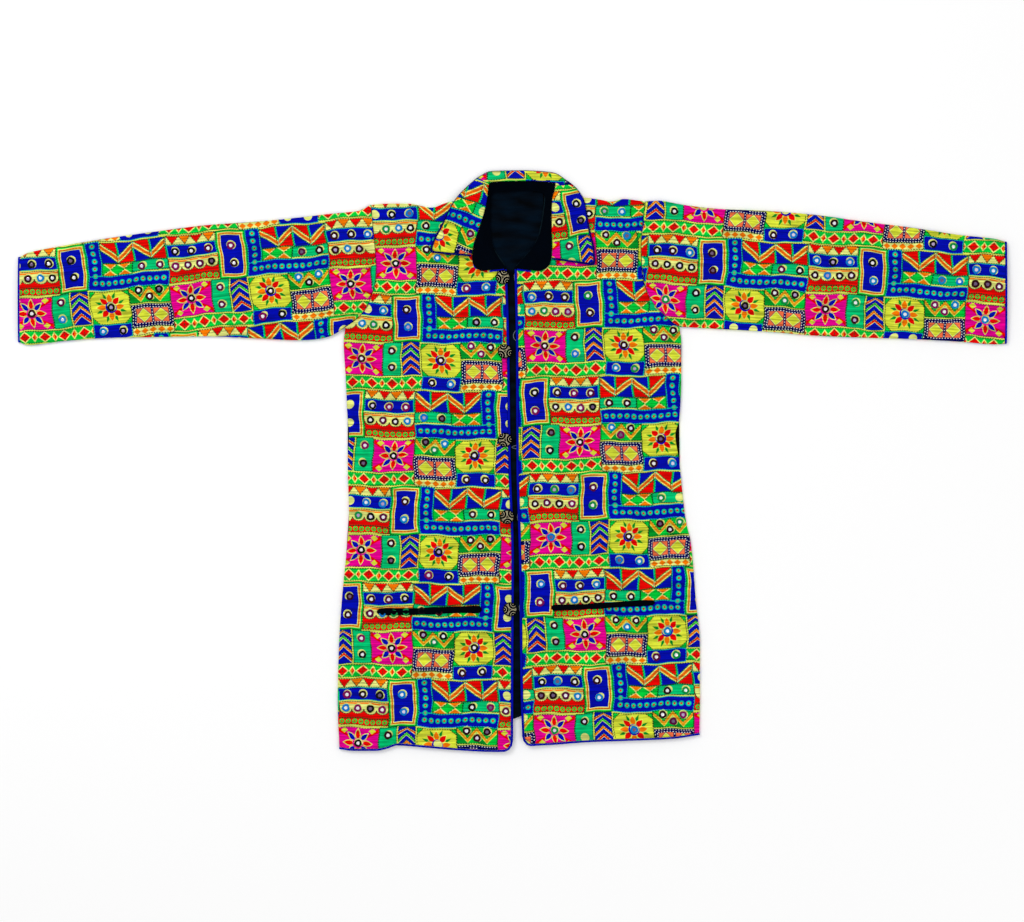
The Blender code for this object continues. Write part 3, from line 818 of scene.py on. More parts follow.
def cell(x, y, w, h, ground, pale="", thread="moss"):
    """A field of one dye, with a pale line along the sides that are named: l, r, b, t."""
    box(x, y, w, h, ground)
    for side in pale:
        if side in "lr":
            box(x if side == "l" else x + w - LINE, y, LINE, h, "cord")
        else:
            box(x, y if side == "b" else y + h - LINE, w, LINE, "cord")
    left, bottom, right, top = (LINE if side in pale else 0.5 for side in "lbrt")
    frame_seam(x + left, y + bottom, w - left - right, h - bottom - top, thread)


def mirror(x, y):
    disc(x + 0.8, y + 1.0, MIRROR_PATCH, "cream", MIRROR_SIDES)
    MIRRORS.append((x, y))


def split(start, length, count, inset=CORD):
    """The number, start and length of each equal part of a stretch, inside an inset."""
    step = (length - 2 * inset) / count
    return [(i, start + inset + step * i, step) for i in range(count)]


def ring_row(start, end, dye, radius=4.0, pitch=10.1):
    """Ringed dots from one point to another."""
    start = np.array(start, float)
    end = np.array(end, float)
    count = max(1, round(np.linalg.norm(end - start) / pitch))
    for i in range(count + 1):
        x, y = start + (end - start) * i / count
        disc(x, y, radius, dye)
        disc(x, y, radius * 0.46, "eye", 8)


def ring_strip(x, y, w, h):
    cell(x, y, w, h, "red", "b")
    ring_row((x + 6, y + h / 2 + 1), (x + w - 6, y + h / 2 + 1), "green", 3.7, 9.2)


def triangles(x, y, w, h, count):
    cell(x, y, w, h, "cream")
    for i, left, step in split(x, w, count):
        points = [(left, y + h - CORD), (left + step / 2, y + CORD), (left + step, y + h - CORD)]
        patch(points, ("red", "orange")[i % 2])
        sew(points)


def bar(x, y, w, h, dye, count, pale=""):
    """A plain field with a row of mirrors along its longer side."""
    cell(x, y, w, h, dye, pale, "teal" if dye == "blue" else "moss")
    for i in range(count):
        share = (i + 0.5) / count
        across, up = (share, 0.5) if w > h else (0.5, share)
        mirror(x + w * across, y + h * up)


def scallops(x, y, w, h, count):
    cell(x, y, w, h, "red")
    low = y + h * 0.52
    box(x + CORD, low, w - 2 * CORD, y + h - CORD - low, "cream")
    box(x + CORD, y + h - 4.2, w - 2 * CORD, 2.4, "orange")
    turn = np.linspace(0, math.pi, 9)
    step = (w - 2 * CORD) / count
    for i in range(count):
        middle = x + CORD + step * (i + 0.5)
        arc = np.column_stack((middle + step / 2 * np.cos(turn), low - step * 0.36 * np.sin(turn)))
        patch(arc, "cream")
        sew(arc, "moss", 3.0)
        mirror(middle, low + 1.6)


def framed(x, y, w, h):
    """Two mirrors in frames set one inside another."""
    cell(x, y, w, h, "green")
    for inset, dye in ((3, "cream"), (4, "amber"), (6.6, "cream"), (7.6, "blue")):
        box(*within(x, y, w, h, inset), dye)
    frame_seam(*within(x, y, w, h, 5.3), "eye", 4.6)
    mirror(x + w * 0.48, y + h * 0.68)
    mirror(x + w * 0.5, y + h * 0.31)


def zigzag(x, y, w, h, count):
    """A wide zigzag over blue fields and green uprights."""
    cell(x, y, w, h, "red", "t")
    low = y + 6
    high = y + h - LINE - 5
    top = y + h - LINE
    points = [(x, high)]
    for _, left, step in split(x, w, count, 0):
        middle = left + step / 2
        right = left + step
        patch([(middle, low), (right, high), (right, top), (middle, top)], "blue")
        patch([(left, y), (left, high), (middle, low), (middle, y)], "blue")
        for across in (middle, right - 1):
            box(across - 1, y, 2, top - y, "green")
            for side, thread in ((-1.3, "moss"), (1.3, "teal")):
                sew([(across + side, y + 1), (across + side, top)], thread)
        points += [(middle, low), (right, high)]
    for width, dye in ((12, "green"), (9.6, "cream"), (5.6, "orange")):
        band(points, width, dye)
    for rise, thread, pitch in ((5.4, "moss", STITCH_PITCH), (-5.4, "moss", STITCH_PITCH), (0, "eye", 4.2)):
        sew(np.array(points) + (0, rise), thread, pitch)


def green_zigzag(x, y, w, h, count):
    cell(x, y, w, h, "green", "b")
    low = y + 7
    high = y + h - 4
    points = [(x + CORD, high)]
    for i, left, step in split(x, w, count):
        middle = left + step / 2
        patch([(left, y + LINE), (left, high), (middle, low), (middle, y + LINE)], "grass")
        points += [(middle, low), (left + step, high)]
        mirror(middle, high - 2.2)
        if i:
            mirror(left, low + 3.2)
    band(points, 7.4, "cord")
    band(points, 4.8, "amber")
    sew(np.array(points) + (0, 3.6))


def hourglasses(x, y, w, h, count):
    cell(x, y, w, h, "green")
    for _, left, step in split(x, w, count):
        right = left + step
        middle = left + step / 2
        for edge, way in ((y + CORD, -1), (y + h - CORD, 1)):
            patch([(left, edge), (right, edge), (middle, y + h / 2)], "cream")
            patch([(left + 2.4, edge), (right - 2.4, edge), (middle, y + h / 2 + 1.8 * way)], "orange")
        sew([(left, y + CORD), (right, y + h - CORD)], "moss", 4.4)


def diamonds(x, y, w, h, count):
    """Whole diamonds with half ones between them."""
    cell(x, y, w, h, "green", "tb")
    low = y + LINE
    high = y + h - LINE
    level = y + h / 2
    for i, left, step in split(x, w, count, 0):
        middle = left + step / 2
        for inset, dye in ((0, "cream"), (2, "red")):
            diamond(middle, level, step * 0.33 - inset, h / 2 - LINE - inset, dye)
        sew([(middle, low + 2), (middle, high - 2)], "moss", 4.0)
        for edge, way in ((left, 1), (left + step, -1)):
            for inset, trim, dye in ((1.5, 0, "cream"), (4, 1.7, ("red", "orange")[i % 2])):
                tip = edge + way * (step * 0.17 - trim)
                patch([(edge, low + inset), (edge, high - inset), (tip, level)], dye)


def beads(x, y, w, h, count):
    cell(x, y, w, h, "cream")
    step = (w - 2 * CORD) / count
    for i in range(count):
        diamond(x + CORD + step * (i + 0.5), y + h / 2, step * 0.46, h / 2 - CORD, "orange")


def squares(x, y, w, h, count):
    """Squares with diamonds in them, sewn round in white."""
    cell(x, y, w, h, "navy")
    for inset in (1.6, 5.2):
        frame_seam(*within(x, y, w, h, inset), "white", 4.2)
    tall = h - 13
    for i, start, step in split(x, w, count, 5):
        left = start + 2
        side = step - 4
        middle = left + side / 2
        box(left, y + 6.5, side, tall, "salmon")
        for grown, dye in ((1, "navy"), (0, "cream"), (-1.4, "yellow")):
            diamond(middle, y + h / 2, side / 2 + grown, tall / 2 + grown, dye)
        if i:
            sew([(left - 2, y + 6), (left - 2, y + h - 6)], "white", 4.2)


def chevrons(x, y, w, h, count):
    cell(x, y, w, h, "blue", "lr")
    left = x + LINE
    right = x + w - LINE
    middle = x + w / 2
    for i, low, step in split(y, h, count):
        peak = min(low + step * 0.95, y + h - CORD - 3)
        tip = min(peak + step * 0.42, y + h - CORD)
        dye = ("red", "orange", "green")[i % 3]
        for rise, top, foot, shade in ((0, 0, 0.42, "cream"), (1, 0.8, 0.34, dye)):
            patch([(left, low + rise), (middle, peak + top), (right, low + rise), (right, low + step * foot),
                   (middle, tip - rise), (left, low + step * foot)], shade)
        sew([(left, low + step * 0.42), (middle, tip), (right, low + step * 0.42)])


def flower(x, y, ground, petals, long_petal, half):
    """Eight petals with pale edges round a mirror."""
    for i in range(8):
        heading = i * math.pi / 4
        leaf(x, y, heading, 5, long_petal, half, "cord")
        leaf(x, y, heading, 6.2, long_petal - 1.8, half - 1.1, petals[i % 2])
    disc(x, y, 8.2, ground, 16)
    mirror(x, y)


def star(x, y, w, h):
    cell(x, y, w, h, "pink", "t")
    middle = x + w / 2
    level = y + h / 2
    for turn in (1, -1):
        for reach in (w / 2 - CORD, CORD - w / 2):
            patch([(middle, level - 1), (middle + reach, level + turn * (h / 2 - 8)),
                   (middle + reach, level + turn * (h / 2 - CORD))], "red")
    flower(middle, level, "pink", ("red", "blue"), h / 2 - 2.5, 4.6)
    for reach in (-1, 1):
        for up in (y + 6.5, y + h - 6.5):
            diamond(middle + reach * w * 0.33, up, 5.2, 4.4, "yellow")


def rosette(x, y, w, h):
    cell(x, y, w, h, "yellow", "t")
    middle = x + w / 2
    level = y + h / 2
    for i in range(8):
        leaf(middle, level, (i + 0.5) * math.pi / 4, 6, h * 0.47, 2.6, "grass")
    flower(middle, level, "blue", ("orange", "red"), h * 0.43, 5.2)
    for reach in (-1, 1):
        edge = middle + reach * w / 2
        for top, way in ((y + h - LINE, -1), (y, 1)):
            slope = [(edge - reach * 10, top), (edge, top + way * 10)]
            patch([(edge, top), *slope], "green")
            sew(slope)


def draw_block():
    """Lays the motifs out in one block: left, bottom, width, height and what else each needs."""
    half = BLOCK_HEIGHT / 2
    triangles(0, half + 58, 75, 14, 4)
    bar(0, half + 37, 75, 21, "blue", 3, "b")
    scallops(0, half + 12, 75, 25, 4)
    ring_strip(0, half, 75, 12)
    framed(75, half, 44, half)
    cell(119, half, 121, 21, "blue", "", "teal")
    cell(119, half + 20, 21, half - 20, "blue", "", "teal")
    ring_row((129.5, half + 10.5), (232, half + 10.5), "teal")
    ring_row((129.5, half + 20.6), (129.5, half + 65), "teal")
    zigzag(140, half + 39, 100, 33, 2)
    hourglasses(140, half + 21, 46, 18, 2)
    bar(186, half + 21, 54, 18, "sea", 2, "b")
    star(0, 22, 62, 50)
    bar(62, 22, 27, 50, "sea", 2)
    chevrons(89, 22, 30, 50, 4)
    diamonds(0, 0, 119, 22, 4)
    rosette(119, 21, 59, 51)
    bar(119, 0, 59, 21, "blue", 2)
    green_zigzag(178, 45, 62, 27, 2)
    squares(178, 11, 62, 34, 2)
    beads(178, 0, 62, 11, 5)


# Visible cloth: the spacing of its points, the drift of its print, its stitches and its mirrors
ROUNDING = 1.3
POINT_SPACING = 6.5
UNDER_SPACING = 10.0
FINE_SPACING = 2.6
FINE_REACH = 44.0
UNDERARMS = ((-254, 214), (254, 214))
DEEPEST = 1.5
VALLEY_DEPTH = 1.25
VALLEY_REACH = 3.4
OUTLINE_STEP = 5.0
EDGE_ROWS = (0.35, 0.95, 2.0)
NEAREST = 0.01
TINY = 1e-12
AT_ONCE = 2000
SHARP = 55
WOBBLE = 1.3
FINE_WOBBLE = 0.45
STITCH_LENGTH = 2.5
STITCH_WIDTH = 1.25
STITCH_RISE = 0.35
STITCH_FOOT = 0.05
STITCH_VARIES = 0.5
STITCH_MARGIN = 1.8
STITCH_CLEAR = 0.4
DOT_SHARE = 0.62
MIRROR_CLEAR = 7.0
MIRROR_OVERLAP = 3.0
RING_RADIUS = 5.6
RING_GROWS = 0.12
RING_UNEVEN = 0.055
GLASS_RADIUS = 2.9
GLASS_RISE = 2.4
GLASS_UNEVEN = 0.1
GLASS_LEAN = 0.02
GLASS_SHIFT = 0.3
GLASS_LIFT = 0.75
FAR = 90.0

# Where small creases fade out: beside the open front, and under the collar
SMOOTH_EDGE = 26
EDGE_FADE = 40
COLLAR_LOWEST = 262
COLLAR_REACH = 118
COLLAR_FADE = 30

# Small creases pressed into the upper cloth, below zero for a trough, and the narrow raised ones
# where it bunches at the underarms
CREASES = table(
    "x y heading length width height",
    (-300, 215, 150, 60, 5, -1.2),
    (-275, 235, 20, 70, 5, -1.1),
    (-240, 205, 60, 50, 5, -1.2),
    (-252, 224, 12, 44, 4, -1.6),
    (-244, 217, 8, 40, 3.5, 1.2),
    (-236, 231, 150, 40, 4, -1.4),
    (-266, 221, 124, 44, 2.4, 4.4),
    (-257, 226, 104, 40, 2.2, 4.6),
    (-248, 224, 80, 38, 2.2, 4.2),
    (-241, 217, 50, 36, 2.4, 4.4),
    (-235, 208, 22, 36, 2.4, 3.6),
    (-274, 210, 152, 40, 2.6, 3.4),
    (-222, 300, 84, 60, 4, -1.4),
    (-214, 336, 100, 50, 4, -1.3),
    (-352, 300, 80, 90, 7, -1.1),
    (-402, 262, 68, 110, 7, 1.3),
    (-470, 240, 8, 130, 6, -1.1),
    (-520, 310, 168, 90, 6, 1.1),
    (-610, 262, 84, 100, 7, -1.3),
    (-640, 225, 14, 110, 6, 1.1),
    (-700, 290, 96, 80, 6, -1.1),
    (275, 205, 30, 60, 5, -1.2),
    (248, 206, 148, 60, 4, -1.7),
    (240, 214, 146, 50, 3.5, 1.1),
    (264, 219, 56, 40, 2.4, 3.8),
    (254, 223, 84, 36, 2.2, 3.6),
    (245, 219, 112, 34, 2.4, 3.8),
    (272, 210, 30, 38, 2.6, 3.0),
    (222, 240, 122, 50, 4, -1.2),
    (206, 310, 96, 60, 4, -1.4),
    (250, 240, 140, 60, 5, -1.4),
    (345, 320, 100, 100, 7, -1.1),
    (395, 240, 112, 110, 7, 1.3),
    (470, 330, 4, 140, 6, -1.1),
    (515, 220, 8, 120, 6, 1.1),
    (600, 290, 94, 110, 7, -1.3),
    (655, 230, 170, 100, 6, 1.1),
    (705, 300, 84, 70, 6, -1.1),
    (-205, 150, 112, 110, 6, 1.3),
    (-228, 40, 95, 120, 5, -1.3),
    (-236, -60, 88, 130, 6, 1.3),
    (-150, 110, 20, 120, 8, 1.0),
    (-90, 40, 96, 200, 8, -1.0),
    (-170, -120, 82, 200, 7, 1.1),
    (-225, -280, 96, 130, 6, -1.1),
    (-100, -160, 12, 110, 8, 0.8),
    (-70, -340, 84, 130, 7, -1.0),
    (-190, -350, 150, 90, 8, 1.0),
    (215, 140, 66, 110, 6, 1.3),
    (234, 20, 86, 120, 5, -1.3),
    (242, -90, 94, 120, 6, 1.1),
    (110, 90, 160, 120, 8, 1.0),
    (95, 0, 84, 220, 8, -1.0),
    (180, -60, 98, 200, 7, 1.1),
    (250, -260, 84, 130, 6, -1.1),
    (130, -180, 168, 110, 8, 0.8),
    (80, -350, 96, 130, 7, -1.0),
    (200, -350, 30, 90, 8, 1.0),
    (-150, 340, 20, 90, 7, 1.0),
    (150, 345, 160, 90, 7, 1.0),
)


def creases(x, y):
    """Small creases, fading out near the open front and the collar."""
    from_edge = ease((np.abs(x - opening_x(y)) - SMOOTH_EDGE) / EDGE_FADE)
    over = ease((y - COLLAR_LOWEST) / COLLAR_FADE)
    under_collar = 1 - over * (1 - ease((np.abs(x) - COLLAR_REACH) / COLLAR_FADE))
    return ridges(CREASES, x, y) * from_edge * under_collar


def seam_valley(x, y):
    """The cloth dips where it is sewn to the sleeve round the armhole."""
    armhole = np.where(x < 0, outer_x("right", y), outer_x("left", y))
    above = ease((y - UNDERARM + 2) / 10)
    return -VALLEY_DEPTH * np.exp(-((x - armhole) / VALLEY_REACH) ** 2) * above


def front_height(x, y):
    return upper_top(x, y) + np.maximum(creases(x, y) + seam_valley(x, y), -DEEPEST)


def unit(vectors):
    return vectors / np.linalg.norm(vectors, axis=1)[:, None]


def left_of(vectors):
    """Plan vectors, each turned a quarter to the left."""
    return np.column_stack((-vectors[:, 1], vectors[:, 0]))


def edge_distance(points, outline):
    """Distance from each point to a closed outline, below zero outside it."""
    points = np.asarray(points, float)
    start = outline
    ahead = np.roll(outline, -1, axis=0) - start
    square = np.maximum(np.sum(ahead ** 2, axis=1), TINY)
    rise = np.where(np.abs(ahead[:, 1]) < TINY, TINY, ahead[:, 1])
    made = []
    for part in np.array_split(points, max(1, len(points) // AT_ONCE)):
        offset = part[:, None, :] - start[None]
        share = np.clip(np.sum(offset * ahead[None], axis=2) / square, 0, 1)
        near = offset - share[..., None] * ahead[None]
        distance = np.sqrt(np.min(np.sum(near ** 2, axis=2), axis=1))
        below = start[None, :, 1] <= part[:, None, 1]
        crosses = below != (np.roll(start, -1, axis=0)[None, :, 1] <= part[:, None, 1])
        cut = start[None, :, 0] + (part[:, None, 1] - start[None, :, 1]) * (ahead[:, 0] / rise)[None]
        inside = np.sum(crosses & (cut > part[:, None, 0]), axis=1) % 2 == 1
        made.append(np.where(inside, distance, -distance))
    return np.concatenate(made)


def turned(points, angle):
    cosine = math.cos(math.radians(angle))
    sine = math.sin(math.radians(angle))
    return np.asarray(points, float) @ np.array(((cosine, sine), (-sine, cosine)))


def copies(outline, origin, tilt):
    """The places where the block may show on a panel: whether it is turned over, and its corner."""
    local = turned(outline - origin, -tilt)
    low = local.min(axis=0) - 2 * WOBBLE
    high = local.max(axis=0) + 2 * WOBBLE
    made = []
    for row in range(math.floor(low[1] / BLOCK_HEIGHT), math.ceil(high[1] / BLOCK_HEIGHT)):
        over = row % 2
        shift = ROW_SHIFT * over
        first = math.floor((low[0] - shift) / BLOCK_WIDTH)
        for column in range(first, math.ceil((high[0] - shift) / BLOCK_WIDTH)):
            made.append((over, np.array((column * BLOCK_WIDTH + shift, row * BLOCK_HEIGHT))))
    return made


def rounded_corner(line, corner, reach):
    """Bends a polyline smoothly round one of its points, over the reach to each side."""
    line = np.asarray(line, float)
    run = run_along(line)
    near = np.abs(run - run[corner]) < reach
    bounds = (run[corner] - reach, run[corner] + reach)
    start, end = (np.array([np.interp(at, run, axis) for axis in line.T]) for at in bounds)
    share = ((run[near] - bounds[0]) / (2 * reach))[:, None]
    made = line.copy()
    made[near] = start * (1 - share) ** 2 + 2 * line[corner] * share * (1 - share) + end * share ** 2
    return made


def placed(points, over, corner, origin, tilt):
    """Block points on the panel, drawn by hand a little askew; over is 1 where the block is turned over."""
    points = np.array(points, float)
    if over:
        points[:, 0] = BLOCK_WIDTH - points[:, 0]
    x, y = (points + corner).T
    drift_x = WOBBLE * np.sin(y / 13 + np.sin(x / 37)) + FINE_WOBBLE * np.sin(y / 4.7 + x / 9)
    drift_y = WOBBLE * np.sin(x / 15 + np.sin(y / 31)) + FINE_WOBBLE * np.sin(x / 5.3 - y / 8)
    return turned(points + corner + np.column_stack((drift_x, drift_y)), tilt) + origin


def counter_clockwise(outline):
    ahead = np.roll(outline, -1, axis=0)
    area = np.sum(outline[:, 0] * ahead[:, 1] - outline[:, 1] * ahead[:, 0])
    return outline if area > 0 else outline[::-1]


def scattered(outline, spacing, margin, low=None, high=None):
    """Points over the inside of an outline, or of a box in it, in staggered rows, a little uneven."""
    low = outline.min(axis=0) if low is None else low
    high = outline.max(axis=0) if high is None else high
    across = np.arange(low[0], high[0], spacing)
    up = np.arange(low[1], high[1], spacing * 0.87)
    x, y = np.meshgrid(across, up)
    x = x + spacing / 2 * (np.arange(len(up)) % 2)[:, None]
    x = x + spacing * 0.13 * np.sin(x * 1.7 + y * 2.3)
    y = y + spacing * 0.13 * np.sin(x * 2.9 - y * 1.1)
    points = np.column_stack((x.ravel(), y.ravel()))
    return points[edge_distance(points, outline) > margin]


def by_underarms(outline):
    """Close points round the underarms, where the cloth bunches in narrow creases."""
    boxes = [(np.array(spot) - FINE_REACH, np.array(spot) + FINE_REACH) for spot in UNDERARMS]
    return np.concatenate([scattered(outline, FINE_SPACING, 2.0, low, high) for low, high in boxes])


def beside(outline, distance):
    """Points just inside an outline."""
    normal = unit(left_of(np.roll(outline, -1, axis=0) - np.roll(outline, 1, axis=0)))
    points = outline + normal * distance
    return points[edge_distance(points, outline) > distance * 0.9]


def triangulated(outline, loose, shapes=()):
    """Plan points, triangles and each triangle's topmost shape."""
    lines = [outline, *shapes]
    starts = np.cumsum([0] + [len(line) for line in lines])
    faces = [list(range(start, start + len(line))) for start, line in zip(starts.tolist(), lines)]
    flat = [Vector(point) for point in np.concatenate([*lines, loose]).tolist()]
    made, _, triangles, _, _, owners = delaunay_2d_cdt(flat, [], faces, 1, NEAREST, True)
    kept = [(triangle, max(owner)) for triangle, owner in zip(triangles, owners) if 0 in owner]
    used, triangles = np.unique([triangle for triangle, _ in kept], return_inverse=True)
    plan = np.array([tuple(made[i]) for i in used])
    return plan, triangles.reshape(-1, 3), np.array([top for _, top in kept])


def rim_of(triangles, count):
    """The longest closed chain of edges that only one triangle has, and the triangle of each edge."""
    edges = np.concatenate((triangles[:, (0, 1)], triangles[:, (1, 2)], triangles[:, (2, 0)]))
    single = ~np.isin(edges[:, 0] * count + edges[:, 1], edges[:, 1] * count + edges[:, 0])
    after = dict(edges[single].tolist())
    owner = dict(zip(edges[single, 0].tolist(), np.flatnonzero(single) % len(triangles)))
    made = []
    while after:
        start, at = after.popitem()
        chain = [start]
        while at != start and at in after:
            chain.append(at)
            at = after.pop(at)
        made.append(chain)
    chain = max(made, key=len)
    return chain, [owner[point] for point in chain]


def mesh_piece(name, material, points, faces, colours=None, grain=None):
    """A smooth mesh in millimetres, with a dye for each face and a grain direction for each point."""
    points = np.asarray(points, float).reshape(-1, 3)
    mesh = bpy.data.meshes.new(name)
    mesh.from_pydata((points * MM).tolist(), [], [list(map(int, face)) for face in faces])
    if colours is not None:
        sizes = np.array([len(face) for face in faces])
        values = np.ones((int(sizes.sum()), 4))
        values[:, :3] = np.repeat(colours, sizes, axis=0)
        mesh.attributes.new("dye", "FLOAT_COLOR", "CORNER").data.foreach_set("color", values.ravel())
    flat = points if grain is None else np.asarray(grain)
    flat = np.column_stack((flat[:, :2], np.zeros(len(points)))) * MM
    mesh.attributes.new("grain", "FLOAT_VECTOR", "POINT").data.foreach_set("vector", flat.ravel())
    mesh.materials.append(MATERIALS[material])
    mesh.shade_smooth()
    mesh.set_sharp_from_angle(angle=math.radians(SHARP))
    made = bpy.data.objects.new(name, mesh)
    bpy.context.scene.collection.objects.link(made)
    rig.ride(made, "root")
    return made


def grid_quads(rows, columns, closed=False, looped=False):
    """Faces of a grid of points; closed joins the ends of each row, looped the last row to the first."""
    faces = []
    for r in range(rows if looped else rows - 1):
        up = (r + 1) % rows
        for c in range(columns if closed else columns - 1):
            right = (c + 1) % columns
            faces.append((r * columns + c, r * columns + right, up * columns + right, up * columns + c))
    return faces


def facing_out(points, faces):
    """The faces of a closed skin, all turned over if they face in."""
    volume = 0.0
    for face in faces:
        for second, third in zip(face[1:], face[2:]):
            volume += np.dot(points[face[0]], np.cross(points[second], points[third]))
    return faces if volume > 0 else [face[::-1] for face in faces]


def tube(sections):
    """A closed tube: its points and faces, from points round each section along it."""
    sections = np.asarray(sections)
    rows, around = sections.shape[:2]
    points = sections.reshape(-1, 3)
    faces = grid_quads(rows, around, closed=True)
    faces.append(tuple(range(around))[::-1])
    faces.append(tuple((rows - 1) * around + i for i in range(around)))
    return points, facing_out(points, faces)


def joined(parts):
    """Several skins as one: points, faces and what goes with them."""
    faces = []
    count = 0
    for part in parts:
        faces += [tuple(i + count for i in face) for face in part[1]]
        count += len(part[0])
    points, _, *rest = zip(*parts)
    return [np.concatenate(points), faces, *map(np.concatenate, rest)]


def cloth_shell(outline, height, under, origin, tilt, flip=False, plain=None):
    """A thin closed shell over an outline: the patterned face, its rim and a plain back.

    height and under give the two faces over points of the plan. flip puts the pattern below.
    plain is an outline inside which the cloth is faced with dark lining.
    """
    outline = counter_clockwise(smoothly(outline, OUTLINE_STEP))
    shapes = []
    dyes = [DYE_NAMES.index("cord")]
    low = outline.min(axis=0)
    high = outline.max(axis=0)
    for over, corner in copies(outline, origin, tilt):
        for points, dye in SHAPES:
            moved = counter_clockwise(placed(points, over, corner, origin, tilt))
            if (moved.max(axis=0) > low).all() and (moved.min(axis=0) < high).all():
                shapes.append(moved)
                dyes.append(dye)
    if plain is not None:
        shapes.append(counter_clockwise(plain))
        dyes.append(DYE_NAMES.index("seam"))
    bunches = by_underarms(outline)
    loose = [scattered(outline, POINT_SPACING, 2.5), bunches] + [beside(outline, row) for row in EDGE_ROWS]
    plan, triangles, tops = triangulated(outline, np.concatenate(loose), shapes)
    chain, owners = rim_of(triangles, len(plan))
    ring = plan[chain]
    loose = np.concatenate((scattered(ring, UNDER_SPACING, 5.0), bunches))
    back_plan, back_triangles, _ = triangulated(ring, loose)
    back_chain, _ = rim_of(back_triangles, len(back_plan))
    begin = int(np.argmin(np.linalg.norm(back_plan[back_chain] - ring[0], axis=1)))
    back_chain = back_chain[begin:] + back_chain[:begin]
    points = np.concatenate((np.column_stack((plan, height(*plan.T))),
                             np.column_stack((back_plan, under(*back_plan.T)))))
    shift = len(plan)
    faces = triangles.tolist()
    faces += (back_triangles[:, (0, 2, 1)] + shift).tolist()
    dye = DYE_COLOURS[np.array(dyes)[tops]]
    colours = [dye, np.tile(DYE_COLOURS[DYE_NAMES.index("black")], (len(back_triangles), 1))]
    if len(back_chain) == len(chain):
        for i in range(len(chain)):
            n = (i + 1) % len(chain)
            faces.append((back_chain[i] + shift, back_chain[n] + shift, chain[n], chain[i]))
        colours.append(dye[owners])
    if flip:
        faces = [face[::-1] for face in faces]
    return points, faces, np.concatenate(colours), turned(points[:, :2] - origin, -tilt)


def on_panel(outline, origin, tilt, stored, margin, plain=None):
    """Stored marks of the block, placed on the printed part of a panel: place, direction and the rest."""
    kept = []
    for over, corner in copies(outline, origin, tilt):
        place = placed(stored[:, :2], over, corner, origin, tilt)
        inside = edge_distance(place, outline) > margin
        if plain is not None:
            inside &= edge_distance(place, plain) < -max(margin, 0)
        rest = stored[inside, 2:].copy()
        if rest.shape[1]:
            rest[:, :2] = turned(rest[:, :2] * (-1 if over else 1, 1), tilt)
        kept.append(np.concatenate((place[inside], rest), axis=1))
    return np.concatenate(kept)


def stitch_work(name, panels):
    """Raised dashes of thread along the seams of panels: (outline, height, origin, tilt, plain part)."""
    parts = []
    for outline, height, origin, tilt, plain in panels:
        marks = on_panel(outline, origin, tilt, np.array(SEAMS), STITCH_MARGIN, plain)
        mirrors = on_panel(outline, origin, tilt, np.array(MIRRORS), -MIRROR_OVERLAP)
        away = np.ones(len(marks), bool)
        for x, y in mirrors:
            away &= np.hypot(marks[:, 0] - x, marks[:, 1] - y) > MIRROR_PATCH + STITCH_CLEAR
        marks = marks[away]
        dye = marks[:, 4].astype(int)
        length = STITCH_LENGTH + STITCH_VARIES * np.sin(marks[:, 0] * 5.1 + marks[:, 1] * 3.7)
        length = length * np.where(dye == DYE_NAMES.index("white"), DOT_SHARE, 1)
        ahead = marks[:, 2:4] * (length / 2)[:, None]
        aside = left_of(marks[:, 2:4]) * STITCH_WIDTH / 2
        corners = []
        for end in (-1, 1):
            for side, rise in ((-1, STITCH_FOOT), (0, STITCH_RISE), (1, STITCH_FOOT)):
                place = marks[:, :2] + ahead * end + aside * side
                corners.append(np.column_stack((place, height(*place.T) + rise)))
        base = np.arange(len(marks))[:, None] * 6
        faces = np.concatenate((base + (3, 4, 1, 0), base + (4, 5, 2, 1)), axis=1).reshape(-1, 4)
        colours = np.repeat(DYE_COLOURS[dye], 2, axis=0)
        parts.append((np.stack(corners, axis=1).reshape(-1, 3), faces.tolist(), colours))
    return mesh_piece(name, "thread", *joined(parts))


def ring_template(sides, section):
    """A worked ring of thread round a mirror, of outer radius 1, flat below."""
    turn = np.arange(sides) * 2 * math.pi / sides
    around = np.arange(section) * 2 * math.pi / section
    wobble = 1 + 0.05 * np.sin(3 * turn) + 0.04 * np.cos(5 * turn)
    radius = 0.72 + 0.28 * np.cos(around)[None] * wobble[:, None]
    height = np.tile(0.16 + 0.17 * np.sin(around), (sides, 1))
    points = np.stack((radius * np.cos(turn)[:, None], radius * np.sin(turn)[:, None], height), axis=2)
    faces = [(a, d, c, b) for a, b, c, d in grid_quads(sides, section, closed=True, looped=True)]
    return points.reshape(-1, 3), faces


def glass_template(sides):
    """A small round mirror, slightly domed, of radius 1."""
    turn = np.arange(sides) * 2 * math.pi / sides
    rim = np.column_stack((np.cos(turn), np.sin(turn)))
    points = [np.column_stack((rim * reach, np.full(sides, rise))) for reach, rise in ((1, 0), (0.6, 0.07))]
    faces = []
    for i in range(sides):
        n = (i + 1) % sides
        faces.append((i, n, sides + n, sides + i))
        faces.append((sides + i, sides + n, 2 * sides))
    return np.concatenate((*points, [(0, 0, 0.1)])), faces


RING_THREADS = ((6, 4, 6), (46, 2, 14), (126, 0, 84), (0, 120, 206), (30, 3, 12), (52, 2, 20), (10, 6, 8),
                (88, 0, 58), (0, 132, 200), (38, 2, 16), (0, 142, 66))
# Tones of the mirror glass: near white for a bright mirror, and lilac and dark grey ones that are painted reflections
# of the surroundings.
GLASS_TONES_AND_PAINTED_REFLECTIONS = ((252, 252, 255), (250, 248, 255), (234, 224, 246), (252, 252, 255), (252, 250, 255),
                (188, 166, 208), (250, 250, 253), (252, 252, 255), (116, 92, 128))


def uneven(points, pick, amount):
    """Worked by hand: a round outline pulled in and out round its middle."""
    around = np.arctan2(points[:, 1], points[:, 0])
    pull = np.sin(3 * around + pick) + 0.7 * np.sin(5 * around + 2.3 * pick)
    return points[:, :2] * (1 + amount * pull)[:, None]


